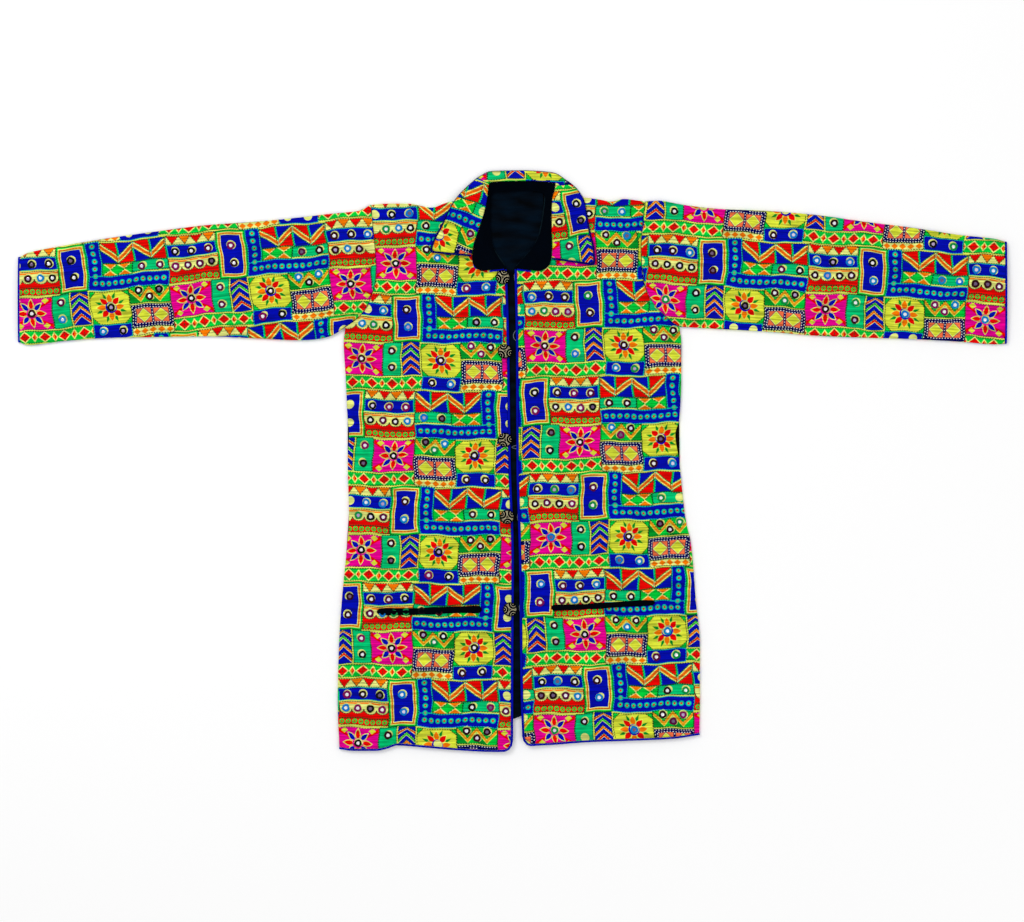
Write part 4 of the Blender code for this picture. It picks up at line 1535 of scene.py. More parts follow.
def mirror_work(name, panels):
    """The mirrors of one or more panels: worked rings of thread in one piece, glass in another."""
    ring_points, ring_faces = ring_template(16, 6)
    glass_points, glass_faces = glass_template(12)
    rings = []
    glasses = []
    for outline, height, origin, tilt, plain in panels:
        places = on_panel(outline, origin, tilt, np.array(MIRRORS), MIRROR_CLEAR, plain)
        for x, y, level in np.column_stack((places, height(*places.T))):
            pick = int(abs(math.sin(x * 12.9898 + y * 78.233)) * 4375.85)
            size = RING_RADIUS + RING_GROWS * (pick % 5)
            spun = turned(uneven(ring_points, pick, RING_UNEVEN), pick % 360)
            ring = np.column_stack((spun, ring_points[:, 2])) * size + (x, y, level + STITCH_FOOT)
            shade = linear(RING_THREADS[pick % len(RING_THREADS)])
            rings.append((ring, ring_faces, np.tile(shade, (len(ring_faces), 1))))
            glass = np.column_stack((uneven(glass_points, pick + 2, GLASS_UNEVEN), glass_points[:, 2]))
            glass = glass * (GLASS_RADIUS, GLASS_RADIUS, GLASS_RISE)
            lean = ((pick % 7) - 3) * GLASS_LEAN
            glass[:, 2] += glass[:, 0] * lean
            glass = glass + (x + GLASS_SHIFT * ((pick % 3) - 1), y, level + GLASS_LIFT)
            # The glass's colour is one of the tones above; the lilac and grey ones are painted reflections.
            glass_tone_with_painted_reflection = linear(GLASS_TONES_AND_PAINTED_REFLECTIONS[pick % len(GLASS_TONES_AND_PAINTED_REFLECTIONS)])
            glasses.append((glass, glass_faces, np.tile(glass_tone_with_painted_reflection, (len(glass_faces), 1))))
    return [mesh_piece(name + "_rings", "thread", *joined(rings)),
            mesh_piece(name + "_glass", "mirror", *joined(glasses))]


def needlework(kind, side, panels):
    """The stitches and mirrors on panels, as pieces of their own."""
    pieces = [stitch_work(kind + "_stitches" + side, panels), *mirror_work(kind + "_mirrors" + side, panels)]
    for piece in pieces:
        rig.slot(piece, "patchwork")
    return pieces


def surface_of(points, faces):
    """A function for the height of a skin over points of the plan, seen from above or below."""
    tree = BVHTree.FromPolygons(np.asarray(points, float).reshape(-1, 3).tolist(), faces)

    def height(x, y, above=True, missed=0.0):
        start = FAR if above else -FAR
        way = Vector((0, 0, -1 if above else 1))
        hits = [tree.ray_cast(Vector((*place, start)), way)[0] for place in zip(x.tolist(), y.tolist())]
        return np.array([missed if hit is None else hit[2] for hit in hits])

    return height


# Materials


def principled(name, roughness, specular, metallic=0.0):
    """A new material and its shader."""
    material = bpy.data.materials.new(name)
    material.use_nodes = True
    shader = material.node_tree.nodes["Principled BSDF"]
    shader.inputs["Roughness"].default_value = roughness
    shader.inputs["Specular IOR Level"].default_value = specular
    shader.inputs["Metallic"].default_value = metallic
    return material, shader


def finish(name, colour, roughness, fields, shades, rough, bumps, specular=0.5, metallic=0.0, along=False):
    """A material whose colour, roughness and surface are made uneven by fields of noise.

    With no colour each face brings its own dye. along makes the noise follow the cloth's grain.
    fields has a scale and a detail for each field; three scales draw it out. shades and rough name a field,
    the lowest and highest value that it gives and the part of it in use. bumps name a field, a strength and
    a depth in metres.
    """
    material, shader = principled(name, roughness, specular, metallic)
    tree = material.node_tree

    def add(kind, values, **settings):
        """A node's outputs; its inputs take a number or another node's output."""
        node = tree.nodes.new("ShaderNode" + kind)
        for key, value in settings.items():
            setattr(node, key, value)
        for key, value in values.items():
            if isinstance(value, bpy.types.NodeSocket):
                tree.links.new(value, node.inputs[key])
            else:
                node.inputs[key].default_value = value
        return node.outputs

    def ramp(field, low, high, start=0.3, end=0.7):
        return add("MapRange", {"Value": noise[field], "From Min": start, "From Max": end,
                                "To Min": low, "To Max": high})["Result"]

    if colour is None:
        base = add("Attribute", {}, attribute_name="dye")["Color"]
    else:
        base = add("RGB", {})[0]
        base.default_value = (*linear(colour), 1)
    place = add("Attribute", {}, attribute_name="grain")["Vector"] if along else add("TexCoord", {})["Object"]
    noise = {}
    for field, (scale, detail) in fields.items():
        source = place
        if isinstance(scale, tuple):
            source = add("Mapping", {"Vector": place, "Scale": scale})["Vector"]
            scale = 1.0
        noise[field] = add("TexNoise", {"Vector": source, "Scale": scale, "Detail": detail})["Fac"]
    for shade in shades:
        base = add("VectorMath", {0: base, "Scale": ramp(*shade)}, operation="SCALE")["Vector"]
    tree.links.new(base, shader.inputs["Base Color"])
    tree.links.new(ramp(*rough), shader.inputs["Roughness"])
    lower = {}
    for field, strength, depth in bumps:
        values = {"Strength": strength, "Distance": depth, "Height": noise[field]}
        lower = {"Normal": add("Bump", values | lower)["Normal"]}
    tree.links.new(lower["Normal"], shader.inputs["Normal"])
    return material


def plain_cloth(name, colour, roughness, scale, specular, depth=0.35, spread=0.25, streak=(260, 900, 500)):
    """One dye with a woven, slightly uneven face."""
    return finish(name, colour, roughness, {"clouds": (scale, 3.0), "weave": (streak, 2.0)},
                  (("clouds", 1 - spread, 1 + spread), ("weave", 0.85, 1.15)),
                  ("clouds", roughness - 0.1, roughness + 0.12), (("weave", depth, 0.0004),), specular)


def metal(name, colour, roughness, wear, metallic):
    """Old metal or glass with cloudy wear."""
    return finish(name, colour, roughness, {"clouds": (wear, 3.0)}, (("clouds", 0.75, 1.1),),
                  ("clouds", roughness - 0.06, roughness + 0.14), (("clouds", 0.15, 0.0003),),
                  metallic=metallic)


MATERIALS = {
    # Slub streaks along the grain, worn patches and a fine weave
    "printed": finish("printed_patchwork", None, 0.75,
                      {"streaks": ((20, 420, 1), 3.0), "patches": (90.0, 3.0),
                       "weave": ((700, 1500, 1), 1.0)},
                      (("streaks", 0.46, 1.0, 0.34, 0.62), ("patches", 0.84, 1.06)), ("patches", 0.66, 0.85),
                      (("streaks", 0.35, 0.0006), ("weave", 0.3, 0.0004)), 0.03, along=True),
    "thread": finish("embroidery_thread", None, 0.6, {"strands": (1400.0, 2.0)}, (("strands", 0.6, 1.1),),
                     ("strands", 0.5, 0.7, 0.0, 1.0), (("strands", 0.5, 0.0005),), 0.06, along=True),
    # Faint pressed wrinkles, with a painted sheen: the colour turns darker and lighter along them
    "satin": finish("black_satin", (0, 6, 15), 0.5,
                    {"wrinkles": ((22, 70, 40), 4.0), "weave": ((1500, 400, 900), 1.0)},
                    # Painted sheen and shade: the wrinkles' noise makes the colour 0.3 to 2.4 times as bright.
                    (("wrinkles", 0.3, 2.4, 0.35, 0.68),), ("wrinkles", 0.64, 0.42),
                    (("wrinkles", 0.5, 0.0025), ("weave", 0.15, 0.0003)), 0.02),
    "binding": plain_cloth("royal_blue_binding", (0, 10, 156), 0.7, 60.0, 0.03),
    "navy": plain_cloth("navy_binding", (0, 3, 92), 0.7, 60.0, 0.03),
    "black": plain_cloth("black_velvet", (1, 4, 10), 0.85, 45.0, 0.01),
    # The mirror glass takes each face's tone; the lilac and grey ones are painted reflections.
    "mirror": metal("mirror_glass", None, 0.12, 700.0, 0.6),
    "button": plain_cloth("button_black", (1, 1, 1), 0.5, 400.0, 0.03, 0.2, 0.4, (900, 900, 900)),
    "gold": metal("antique_gold", (232, 220, 178), 0.35, 900.0, 0.3),
    "cord": plain_cloth("loop_cord", (108, 118, 134), 0.6, 500.0, 0.1),
}


# Pieces


def settled(piece, node, slot):
    """Says which solid a piece stands for, and its slot."""
    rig.replaces(piece, node)
    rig.slot(piece, slot)
    return piece


def made_sheet(piece, slot, flat, area, rests_on=(), with_pieces=()):
    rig.slot(piece, slot)
    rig.sheet(piece, flat=flat, held="laid", rests_on=list(rests_on), area=area, with_pieces=list(with_pieces))


def band_piece(name, outer, inner, thickness, material, bulge=0.25, profile=7):
    """A closed rounded strip between two lines on the underside of the cloth."""
    outer = np.asarray(outer, float)
    inner = np.asarray(inner, float)
    share = np.linspace(0, 1, profile)
    sections = []
    for line, level in ((share, 1), (share[::-1][1:-1], 0)):
        for s in line:
            lift = thickness * (0.35 + 0.65 * math.sin(math.pi * (0.12 + 0.76 * s)))
            lift += bulge * math.sin(math.pi * s)
            sections.append(outer + (inner - outer) * s + (0, 0, lift * level))
    return mesh_piece(name, material, *tube(np.stack(sections, axis=1)))


def finer(line, step):
    """A polyline with more points, on a smooth curve through its own."""
    line = np.asarray(line, float)
    run = run_along(line)
    at = np.unique(np.concatenate((run, np.arange(0, run[-1], step))))
    return np.column_stack([through(run, axis)(at) for axis in line.T])


def panel_outline(grid):
    """Round a grid of plan points."""
    return np.concatenate((grid[0, :-1], grid[:-1, -1], grid[-1, :0:-1], grid[:0:-1, 0]))


def rounded_top(height, outline):
    """The height over a panel, falling away over the last millimetre to its edge."""
    edge = smoothly(outline, OUTLINE_STEP)

    def top(x, y):
        near = np.clip(edge_distance(np.column_stack((x, y)), edge), 0, ROUNDING)
        return height(x, y) - ROUNDING * (1 - np.sqrt(1 - (1 - near / ROUNDING) ** 2))

    return top


UNDER_STAND = np.column_stack((STAND_EDGES["fold_x"], STAND_EDGES["fold_y"]))


def make_fronts():
    """Both fronts, each with its print turned and placed in its own way."""
    for side, tilt, origin in (("right", -0.6, (-262, -470)), ("left", 1.4, (34, -452))):
        outline = panel_outline(front_grid(side))
        origin = np.array(origin)
        shell = cloth_shell(outline, rounded_top(front_height, outline),
                            lambda x, y: front_height(x, y) - CLOTH, origin, tilt, plain=UNDER_STAND)
        piece = mesh_piece("front_panel_" + side, "printed", *shell)
        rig.replaces(piece, "front_" + side)
        panels = [(smoothly(outline, OUTLINE_STEP), front_height, origin, tilt, UNDER_STAND)]
        work = needlework("front", "_" + side, panels)
        made_sheet(piece, "patchwork", (0.29, 0.84), 0.19, ["back_lining"], [*work, make_front_binding(side)])


def make_front_binding(side):
    """Down the front edge, round the bottom corner and along the hem."""
    plan = front_grid(side)
    down = plan[body_rows() < NECK_BOTTOM, 0][::-1]
    edge = np.concatenate((down, plan[0, 1:]))
    normal = left_of(unit(np.gradient(edge, axis=0))) * -OUTWARD[side]
    corner = len(down) - 1
    width = np.interp(np.arange(len(edge)), (corner - 5, corner + 3), (FRONT_BINDING, HEM_BINDING))
    level = upper_under(*edge.T) + creases(*edge.T)
    inner = np.column_stack((edge + normal * SEAM * 0.4, level))
    outer = np.column_stack((edge + normal * (SEAM + width)[:, None], level))
    piece = band_piece("front_edge_" + side, outer, inner, BINDING_CLOTH, "binding")
    return settled(piece, "front_binding_" + side, "binding")


def make_back():
    """The back panel, its print below, with the binding along its hem."""
    plan = back_grid()
    shell = cloth_shell(panel_outline(plan), lambda x, y: 0.0 * x, lambda x, y: 0.0 * x + CLOTH,
                        np.array((-250, -440)), 0.0, flip=True, plain=UNDER_STAND)
    piece = mesh_piece("back_panel", "printed", *shell)
    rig.replaces(piece, "back")
    inner = np.column_stack((plan[0] - (0, SEAM), np.zeros(len(plan[0]))))
    binding = band_piece("back_edge", inner - (0, HEM_BINDING, 0), inner, CLOTH, "binding")
    settled(binding, "back_binding", "binding")
    made_sheet(piece, "patchwork", (0.54, 0.82), 0.38, [], [binding])


def make_lining():
    """The back lining, with fine wrinkles where the neck and the slit show it."""
    rows = np.concatenate((np.linspace(HEM, NECK_ROW, 90)[:-1], np.linspace(NECK_ROW, LINING_TOP, 94)))
    plan = []
    for row in rows:
        start, end = (float(through(LINING_EDGE["y"], LINING_EDGE[side])(row)) for side in OUTWARD)
        middle = np.linspace(max(start + 1, NECK_RIGHT), min(end - 1, NECK_LEFT), 65)
        before = np.linspace(start, middle[0], 5)[:-1]
        after = np.linspace(middle[-1], end, 5)[1:]
        x = np.concatenate((before, middle, after))
        y = row + (back_hem_y(x) - HEM) * (1 - ease((row - HEM) / HEM_BEND))
        plan.append(np.column_stack((x, y)))
    plan = np.array(plan)
    x = plan[..., 0]
    y = plan[..., 1]
    slit = np.exp(-((x - opening_x(y)) / SLIT_REACH) ** 2)
    slit = slit * ease((SLIT_TOP - y) / SLIT_FADE) * ease((y - SLIT_BOTTOM) / SLIT_FADE)
    seams = np.exp(-((y - YOKE_SEAM) / 1.4) ** 2)
    seams = seams + np.exp(-((x - BACK_SEAM) / 1.2) ** 2) * ease((y - YOKE_SEAM) / 2)
    level = lining_under(x, y) - WRINKLE * seams * ease((y - 300) / 10)
    level = level + WRINKLE * slit * (1 + np.sin(y / 9.0 + np.sin(y / 23.0) * 2))
    under = np.column_stack((plan.reshape(-1, 2), level.ravel()))
    count = len(under)
    faces = grid_quads(*x.shape)
    edge = panel_outline(np.arange(count).reshape(x.shape)).tolist()
    walls = [(a, b, b + count, a + count) for a, b in zip(edge, edge[1:] + edge[:1])]
    faces = [tuple(i + count for i in face) for face in faces] + [face[::-1] for face in faces] + walls
    piece = mesh_piece("lining_satin", "satin", np.concatenate((under, under + (0, 0, LINING))), faces)
    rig.replaces(piece, "back_lining")
    made_sheet(piece, "lining", (0.5, 0.79), 0.32, ["back_panel"])


def crown_rise(share):
    """How far the upper layer of a pressed sleeve rises between its folds."""
    return SLEEVE_CROWN * np.sin(math.pi * share) ** 0.7


def fold_across(width):
    """Shares across a flat sleeve and the heights there, for its upper layer without its creases."""
    margin = FOLD_RADIUS / width
    turn = np.linspace(math.pi / 2, 0, 9)
    edge = margin * (1 - np.sin(turn))
    rise = FOLD_RADIUS + FOLD_RADIUS * np.cos(turn)
    inner = np.linspace(margin, 1 - margin, 70)[1:-1]
    top = 2 * FOLD_RADIUS + crown_rise((inner - margin) / (1 - 2 * margin))
    return np.concatenate((edge, inner, 1 - edge[::-1])), np.concatenate((rise, top, rise[::-1]))


def sleeve_skins(plan):
    """The heights of a sleeve's upper and lower face, as functions over the plan."""
    upper = []
    lower = []
    for along in np.concatenate((np.linspace(0, 0.86, 80), np.linspace(0.864, 1, 36))):
        width = float(np.linalg.norm(plan(along, 0.0) - plan(along, 1.0)))
        across, level = fold_across(width)
        place = plan(along, across)
        share = np.clip((across - FOLD_RADIUS / width) / (1 - 2 * FOLD_RADIUS / width), 0, 1)
        inward = np.minimum(share, 1 - share)
        crease = creases(*place.T) * ease(along / 0.04) * ease((1 - along) / 0.012)
        relief = ridges(FOLDS, *place.T) * ease(inward / FOLD_FADE)
        relief = relief + (crease + seam_valley(*place.T)) * ease(inward / 0.05)
        lowest = np.minimum(level, 2 * CLOTH + SEAM)
        upper.append(np.column_stack((place, np.maximum(level + relief, lowest))))
        under = np.maximum(2 * FOLD_RADIUS - level, 0) * (level <= 2 * FOLD_RADIUS)
        lower.append(np.column_stack((place, under)))
    faces = grid_quads(len(upper), len(upper[0]))
    top = surface_of(upper, faces)
    bottom = surface_of(lower, faces)
    return (lambda x, y: top(x, y, missed=FOLD_RADIUS),
            lambda x, y: bottom(x, y, above=False, missed=FOLD_RADIUS))


def make_sleeve(side, tilt, origin, area):
    """A sleeve of two printed layers that meet on its pressed folds."""
    plan = sleeve_plan(side)
    top, bottom = sleeve_skins(plan)
    steps = np.linspace(0, 1, 60)
    cuff, hole = (plan(along, steps) for along in (0.0, 1.0))
    upper_edge, lower_edge = (np.array([plan(along, across) for along in steps]) for across in (0.0, 1.0))
    outline = np.concatenate((cuff[:-1], lower_edge[:-1], hole[:0:-1], upper_edge[:0:-1]))
    folds = np.concatenate((upper_edge, lower_edge))

    def wall(x, y):
        """How thick the cloth is: none on the pressed folds, where the two layers meet."""
        near = np.full(len(x), 1e9)
        for px, py in folds:
            near = np.minimum(near, (x - px) ** 2 + (y - py) ** 2)
        return SLEEVE_WALL * ease((np.sqrt(near) - 2.0) / 6)

    origin = np.array(origin, float)
    first = cloth_shell(outline, top, lambda x, y: top(x, y) - wall(x, y), origin, tilt)
    second = cloth_shell(outline, bottom, lambda x, y: bottom(x, y) + wall(x, y), origin + (60, 40), tilt,
                         flip=True)
    piece = mesh_piece("sleeve_" + side + "_cloth", "printed", *joined((first, second)))
    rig.replaces(piece, "sleeve_" + side)
    work = needlework("sleeve", "_" + side, [(smoothly(outline, OUTLINE_STEP), top, origin, tilt, None)])
    made_sheet(piece, "patchwork", (0.36, 0.56), area, ["back_panel"], [*work, make_cuff(side, plan)])


def make_cuff(side, plan):
    """The cuff binding, a rounded band round both layers."""
    points = np.array([cuff_ring(plan, OUTWARD[side] * shift, outset) for shift, outset in CUFF_SECTION])
    faces = grid_quads(*points.shape[:2], closed=True, looped=True)
    if side == "left":
        faces = [face[::-1] for face in faces]
    piece = mesh_piece("cuff_edge_" + side, "binding", points, faces)
    return settled(piece, "cuff_binding_" + side, "binding")


def cuff_ring(plan, shift, outset):
    """One section round the flat cuff; outset moves it out from the cloth's outer face."""
    reach = FOLD_RADIUS + outset
    margin = FOLD_RADIUS / float(np.linalg.norm(plan(0.0, 0.0) - plan(0.0, 1.0)))
    inner = np.linspace(margin, 1 - margin, 30)
    turns = np.linspace(0, math.pi, 11)[1:-1]
    bulge = margin * reach / FOLD_RADIUS * np.sin(turns)
    points = [(across, FOLD_RADIUS - reach) for across in inner]
    points += zip(1 - margin + bulge, FOLD_RADIUS - reach * np.cos(turns))
    for across in inner[::-1]:
        share = np.clip((across - margin) / (1 - 2 * margin), 0, 1)
        fold = float(ridges(FOLDS, *plan(0.0, across))) * float(ease(min(share, 1 - share) / FOLD_FADE))
        points.append((across, FOLD_RADIUS + reach + crown_rise(share) + fold))
    points += zip(margin - bulge, FOLD_RADIUS + reach * np.cos(turns))
    across, level = np.array(points, float).T
    return np.column_stack((plan(0.0, across) + (shift, 0), np.maximum(level, 0.0)))


def space_line(rows, name):
    """A smooth line in space through the named columns of a table, as a function of the row."""
    curves = [through(np.arange(len(rows["fold_x"]), dtype=float), rows[name + "_" + axis]) for axis in "xyz"]
    return lambda at: np.stack([curve(at) for curve in curves], axis=-1)


COLLAR_FOLD = space_line(COLLAR, "fold")
COLLAR_OUTER = space_line(COLLAR, "outer")
COLLAR_SPAN = len(COLLAR["fold_x"]) - 1.0


def collar_point(share, across):
    """A point of the collar's underside: share along it, across 0 at the fold and 1 at the outer edge."""
    fold = COLLAR_FOLD(share * COLLAR_SPAN)
    outer = COLLAR_OUTER(share * COLLAR_SPAN)
    point = fold + (outer - fold) * across
    point[2] = fold[2] + (outer[2] - fold[2]) * across ** 1.6
    return point


def collar_width(share):
    return np.linalg.norm(collar_point(share, 1.0) - collar_point(share, 0.0))


def collar_inset(share):
    """How far across the print goes: the binding rolls under behind the neck."""
    on_wings = 1 - float(ease((0.5 - abs(share - 0.5) - 0.10) / 0.14))
    return 1 - (0.9 + (COLLAR_BINDING + SEAM - 0.9) * on_wings) / collar_width(share)


def collar_skin():
    """The height of the collar's upper face over the plan."""
    shares = np.linspace(0, 1, 150)
    across = np.concatenate(((0.0, 0.008, 0.02, 0.04), np.linspace(0.07, 1, 16)))
    skin = []
    for share in shares:
        width = collar_width(share)
        for a in across:
            near = min(a * width / COLLAR_ROLL, 1.0)
            roll = 2.0 * (1 - math.sqrt(1 - (1 - near) ** 2))
            wave = 0.5 * math.sin(share * 31) * math.sin(math.pi * min(a, 1))
            skin.append(collar_point(share, a) + (0, 0, CLOTH - roll + wave))
    top = surface_of(skin, grid_quads(len(shares), len(across)))
    return lambda x, y: top(x, y, missed=COLLAR_LEVEL)


def make_collar():
    """The fall in three printed parts: the right wing, the roll behind the neck and the left wing."""
    end_inset = (COLLAR_BINDING + SEAM) / END_STEP / COLLAR_SPAN
    height = collar_skin()
    parts = []
    panels = []
    for start, end, tilt, origin in ((end_inset, RIGHT_JOIN, -19.0, (-40, 262)),
                                     (RIGHT_JOIN, LEFT_JOIN, 0.0, (-100, 398)),
                                     (LEFT_JOIN, 1 - end_inset, 9.0, (20, 250))):
        steps = np.linspace(start, end, 40)
        fold = np.array([collar_point(s, 0.012)[:2] for s in steps])
        outer = np.array([collar_point(s, collar_inset(s))[:2] for s in steps])
        across = np.linspace(0, 1, 12)[1:-1, None]
        first = fold[:1] + (outer[:1] - fold[:1]) * across
        last = fold[-1:] + (outer[-1:] - fold[-1:]) * across
        outline = np.concatenate((fold, last, outer[::-1], first[::-1]))
        if start == end_inset:
            outline = rounded_corner(outline, len(outline) - 1 - len(first), CORNER_REACH)
        if end == 1 - end_inset:
            outline = rounded_corner(outline, len(fold) + len(last), CORNER_REACH)
        origin = np.array(origin, float)
        parts.append(cloth_shell(outline, rounded_top(height, outline),
                                 lambda x, y: height(x, y) - COLLAR_WALL, origin, tilt))
        panels.append((smoothly(outline, OUTLINE_STEP), height, origin, tilt, None))
    piece = mesh_piece("collar_fall", "printed", *joined(parts))
    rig.replaces(piece, "collar")
    work = needlework("collar", "", panels)
    made_sheet(piece, "patchwork", (0.08, 0.42), 0.0135, ["front_panel_right", "front_panel_left"],
               [*work, make_collar_binding(end_inset)])


def make_collar_binding(end_inset):
    """Navy piping up one end, along the outer edge and down the other end."""
    end = end_inset * 0.95
    rise = np.append(np.linspace(0.02, 0.9, 6), np.linspace(0.91, 0.99, 7))

    def print_edge(share):
        return 1 - (1 - collar_inset(share)) * 0.95

    outer = [collar_point(0.0, a) for a in rise]
    inner = [collar_point(end, min(a, print_edge(0.0))) for a in rise]
    for share in np.linspace(0.0, 1.0, 320):
        outer.append(collar_point(share, 1.0))
        inner.append(collar_point(max(min(share, 1 - end), end), print_edge(share)))
    outer += [collar_point(1.0, a) for a in rise[::-1]]
    inner += [collar_point(1 - end, min(a, print_edge(1.0))) for a in rise[::-1]]
    for corner in (len(rise), len(outer) - 1 - len(rise)):
        outer = rounded_corner(outer, corner, CORNER_REACH + 1)
        inner = rounded_corner(inner, corner, CORNER_REACH)
    piece = band_piece("collar_edge", outer, inner, BINDING_CLOTH, "navy")
    return settled(piece, "collar_binding", "binding")


def make_stand():
    """The black ring between the neck seam and the collar's fold, with a sewn edge along the neck."""
    at = np.linspace(0, len(STAND_EDGES["fold_x"]) - 1, 220)
    fold = space_line(STAND_EDGES, "fold")(at)
    inner = space_line(STAND_EDGES, "inner")(at)
    shares = np.concatenate(((0.0, 0.03, 0.07, 0.12), np.linspace(0.2, 0.97, 9)))
    sections = []
    for share in shares:
        puff = 0.25 * math.exp(-((share - 0.035) / 0.03) ** 2) - 0.3 * math.exp(-((share - 0.12) / 0.03) ** 2)
        wave = 0.25 * np.sin(at * 2.1 + share * 5) * math.sin(math.pi * share)
        sections.append(inner + (fold - inner) * share + np.outer(STAND + puff + wave, (0, 0, 1)))
    sections += [inner + (fold - inner) * share for share in shares[::-1]]
    piece = mesh_piece("stand_velvet", "black", *tube(np.stack(sections, axis=1)))
    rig.replaces(piece, "collar_stand")
    made_sheet(piece, "lining", (0.03, 0.42), 0.0075, ["front_panel_right", "front_panel_left"])


def make_neck_piping():
    """Short blue strips under the stand's front ends."""
    for side, row in (("right", 0), ("left", -1)):
        inner, fold = (np.array([STAND_EDGES[line + axis][row] for axis in ("_x", "_y")])
                       for line in ("inner", "fold"))
        high = inner + (fold - inner) * np.linspace(0.15, 0.95, 12)[:, None] - (0, 2 * SEAM)
        low = high - (0, NECK_PIPING)
        level = upper_top(*high.T) + 2 * SEAM
        piece = band_piece("neck_edge_" + side, np.column_stack((low, level)), np.column_stack((high, level)),
                           LINING, "binding", 0.3)
        settled(piece, "neck_piping_" + side, "binding")


def make_welts():
    """Black strips with uneven edges, pinched at their ends."""
    for row, side in enumerate(OUTWARD):
        start_x, start_y, end_x, end_y, depth = (column[row] for column in WELTS.values())
        share = np.linspace(0, 1, 60)
        span = np.array((end_x - start_x, end_y - start_y))
        line = (start_x, start_y) + span * share[:, None]
        run = share * np.linalg.norm(span)
        from_end = np.minimum(run, run[-1] - run)
        pinch = np.sqrt(np.clip(1 - (1 - np.clip(from_end / (depth / 2), 0, 1)) ** 2, 0.12, 1))
        rise = depth / 2 * pinch * (1 + 0.06 * np.sin(run / 9) + 0.05 * np.sin(run / 5.3 + row))
        bend = 0.5 * np.sin(run / 21 + row * 2)
        level = front_height(*line.T) + 2 * SEAM
        edges = []
        for shift in (bend - rise, bend + rise):
            edge = line + np.outer(shift, (0, 1))
            edges.append(np.column_stack((edge, np.maximum(front_height(*edge.T) + 0.1, level - SEAM))))
        piece = band_piece("pocket_edge_" + side, *edges, WELT, "black", 0.4, 9)
        settled(piece, "pocket_welt_" + side, "lining")


def around_circle(radius, height, sides):
    turn = np.arange(sides) * 2 * math.pi / sides
    return np.column_stack((radius * np.cos(turn), radius * np.sin(turn), np.full(sides, height)))


def button_arcs(radius, spin):
    """Arcs in fans that open to the rim, with a bar between each two fans."""
    arcs = []
    for fan in range(FANS):
        heading = spin + fan * 2 * math.pi / FANS
        centre = np.array((math.cos(heading), math.sin(heading))) * (radius - FAN_INSET)
        for reach, opening in FAN_ARCS:
            sweep = np.linspace(-opening, opening, 21) + heading + math.pi
            arcs.append(centre + reach * np.column_stack((np.cos(sweep), np.sin(sweep))))
        between = heading + math.pi / FANS
        arcs.append(np.outer(np.linspace(BAR_START, radius, 9), (math.cos(between), math.sin(between))))
    return [arc[np.hypot(*arc.T) < radius - BUTTON_RIM] for arc in arcs]


def wire(arc, dome):
    """A half-round wire along an arc on a dome."""
    level = dome(np.hypot(*arc.T))
    aside = left_of(unit(np.gradient(arc, axis=0)))
    taper = np.ones(len(arc))
    taper[[0, -1]] = 0.5
    sections = []
    for side, rise in ((-WIRE_FOOT, -0.1), (-WIRE_TOP, 0.32), (WIRE_TOP, 0.32), (WIRE_FOOT, -0.1)):
        sections.append(np.column_stack((arc + aside * (side * taper)[:, None], level + rise * taper)))
    return tube(np.stack(sections, axis=1))


def make_buttons():
    """Black domes with pale gold wires on them."""
    radius = BUTTON_DIAMETER / 2
    outer = radius * np.array((0, 0.2, 0.4, 0.56, 0.7, 0.82, 0.9, 0.96, 0.996, 1.0, 0.984, 0.93, 0.64))
    profile_r = np.concatenate((outer, (BUTTON_SHANK / 2, BUTTON_SHANK / 2, 0)))
    profile_z = np.array((6.0, 5.93, 5.7, 5.35, 4.85, 4.25, 3.65, 3.0, 2.6, 2.3, 2.05, 1.7, 1.6,
                          1.6, 0.0, 0.0))
    dome = through(profile_r[:9], profile_z[:9])
    rings = [around_circle(r, z, BUTTON_SIDES) for r, z in zip(profile_r[1:-1], profile_z[1:-1])]
    points = np.concatenate((*rings, [(0, 0, profile_z[0]), (0, 0, profile_z[-1])]))
    faces = [face[::-1] for face in grid_quads(len(rings), BUTTON_SIDES, closed=True)]
    top = len(points) - 2
    last = top - BUTTON_SIDES
    for i in range(BUTTON_SIDES):
        n = (i + 1) % BUTTON_SIDES
        faces.append((i, n, top))
        faces.append((last + n, last + i, top + 1))
    around = np.linspace(0, 2 * math.pi, 13)
    for number, (x, y) in enumerate(zip(BUTTONS["x"], BUTTONS["y"]), 1):
        reach_x = x + np.cos(around) * BUTTON_SHANK / 2
        reach_y = y + np.sin(around) * BUTTON_SHANK / 2
        seat = float(np.max(upper_top(reach_x, reach_y))) + BINDING_CLOTH - CLOTH + SEAM
        piece = mesh_piece("button_dome_%d" % number, "button", points + (x, y, seat), faces)
        settled(piece, "button_%d" % number, "button")
        spin = MIDDLE_SPIN + (number - 3) * SPIN_STEP
        wires = [wire(arc, dome) for arc in button_arcs(radius, spin) if len(arc) > 2]
        relief, relief_faces = joined(wires)
        gold = mesh_piece("button_relief_%d" % number, "gold", relief + (x, y, seat), relief_faces)
        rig.slot(gold, "button")


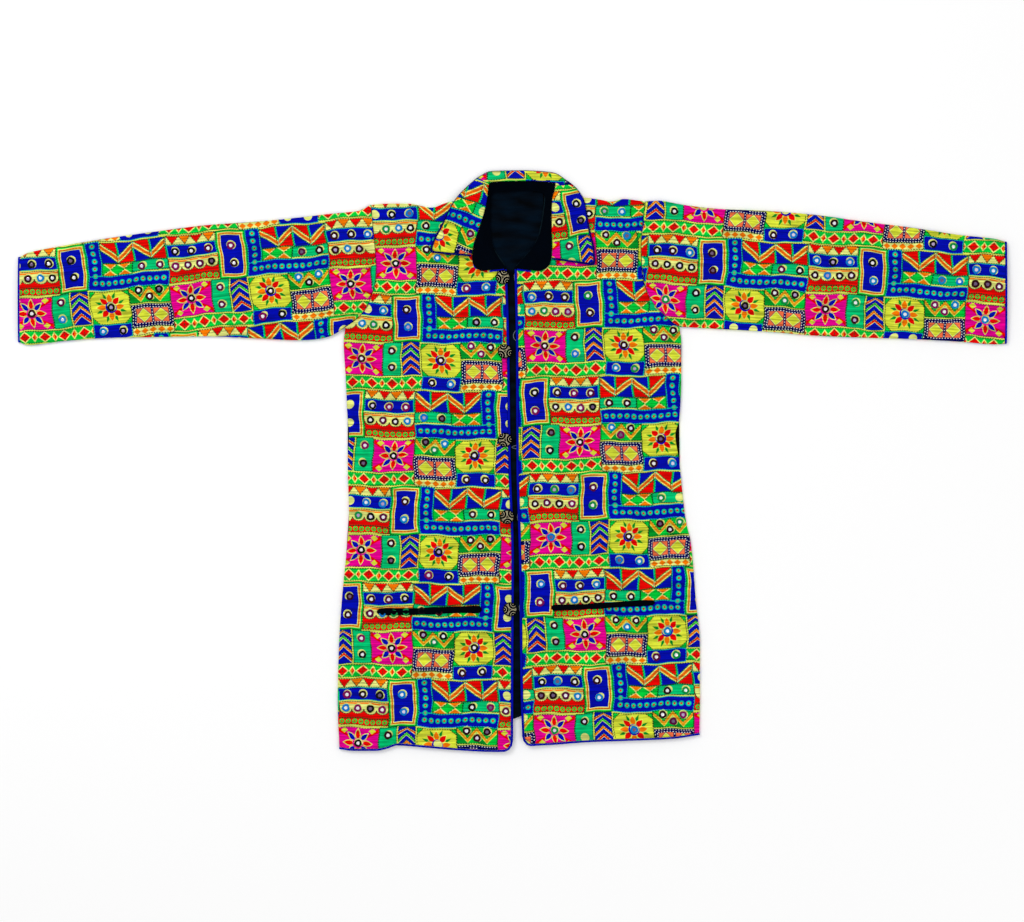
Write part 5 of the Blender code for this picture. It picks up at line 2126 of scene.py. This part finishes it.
def make_loops():
    """Two-ply cord loops on the wearer's left front edge."""
    turns = np.linspace(-math.pi / 2, math.pi / 2, 24)
    straight = np.linspace(0, 1, 9)
    lie = LINING_UNDER + LINING + SEAM + LOOP_CORD / 2
    ply = LOOP_CORD * 0.29
    for number, (y, reach, spread) in enumerate(zip(*LOOPS.values()), 1):
        bow = float(FRONT_X["left"](y)) + LOOP_INSET
        plan = [(bow + LOOP_END - LOOP_END * s, y - spread) for s in straight[:-1]]
        plan += [(bow - (LOOP_INSET + reach) * math.cos(turn), y + spread * math.sin(turn)) for turn in turns]
        plan += [(bow + LOOP_END * s, y + spread) for s in straight[1:]]
        line = finer(plan, 0.45)
        aside = left_of(unit(np.gradient(line, axis=0)))
        plies = []
        for phase in (0, math.pi):
            angle = run_along(line) / LOOP_TWIST * 2 * math.pi + phase
            middle = line + aside * (np.cos(angle) * ply)[:, None]
            middle = np.column_stack((middle, lie + np.sin(angle) * ply))
            sections = []
            for turn in np.arange(6) * math.pi / 3:
                rise = np.full(len(line), math.sin(turn) * ply)
                sections.append(middle + np.column_stack((aside * (math.cos(turn) * ply), rise)))
            plies.append(tube(np.stack(sections, axis=1)))
        piece = mesh_piece("loop_cord_%d" % number, "cord", *joined(plies))
        settled(piece, "button_loop_%d" % number, "loop_cord")


def make_stage():
    """A pale floor, soft light from all round and a camera straight above."""
    scene = bpy.context.scene
    mesh = bpy.data.meshes.new("floor")
    corners = np.array(((-1, -1), (1, -1), (1, 1), (-1, 1))) * FLOOR_REACH
    mesh.from_pydata([(x, y, FLOOR_LEVEL) for x, y in corners], [], [(0, 1, 2, 3)])
    material, shader = principled("floor_white", 0.9, 0.1)
    shader.inputs["Base Color"].default_value = (0.93, 0.93, 0.93, 1)
    mesh.materials.append(material)
    world = bpy.data.worlds.new("studio")
    world.use_nodes = True
    world.node_tree.nodes["Background"].inputs["Color"].default_value = (1, 1, 1, 1)
    world.node_tree.nodes["Background"].inputs["Strength"].default_value = WORLD_LIGHT
    scene.world = world
    floor = bpy.data.objects.new("floor", mesh)
    scene.collection.objects.link(floor)
    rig.stage(floor)
    for name, place, size, power in LAMPS:
        light = bpy.data.lights.new(name, "AREA")
        light.size = size
        light.energy = power
        lamp = bpy.data.objects.new(name, light)
        lamp.location = place
        lamp.rotation_euler = (-Vector(place)).to_track_quat("-Z", "Y").to_euler()
        scene.collection.objects.link(lamp)
    camera = bpy.data.cameras.new("camera")
    camera.sensor_width = SENSOR
    camera.lens = SENSOR * CAMERA_RISE / FRAME_WIDTH
    seen = bpy.data.objects.new("camera", camera)
    seen.location = (-0.75 * MM, -0.75 * MM, CAMERA_RISE)
    scene.collection.objects.link(seen)
    scene.camera = seen
    scene.view_settings.view_transform = "Standard"


def build():
    make_stage()
    make_fronts()
    make_back()
    make_lining()
    make_sleeve("right", 5.4, (-745, 170), 0.185)
    make_sleeve("left", -3.6, (196, 196), 0.18)
    make_stand()
    make_collar()
    make_neck_piping()
    make_welts()
    make_buttons()
    make_loops()


draw_block()
build()
with open("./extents.json", "w") as out:
    json.dump({"cad": [list(map(float, corner)) for corner in CAD_BOX],
               "visual": [list(map(float, corner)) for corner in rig.bounds()]}, out)
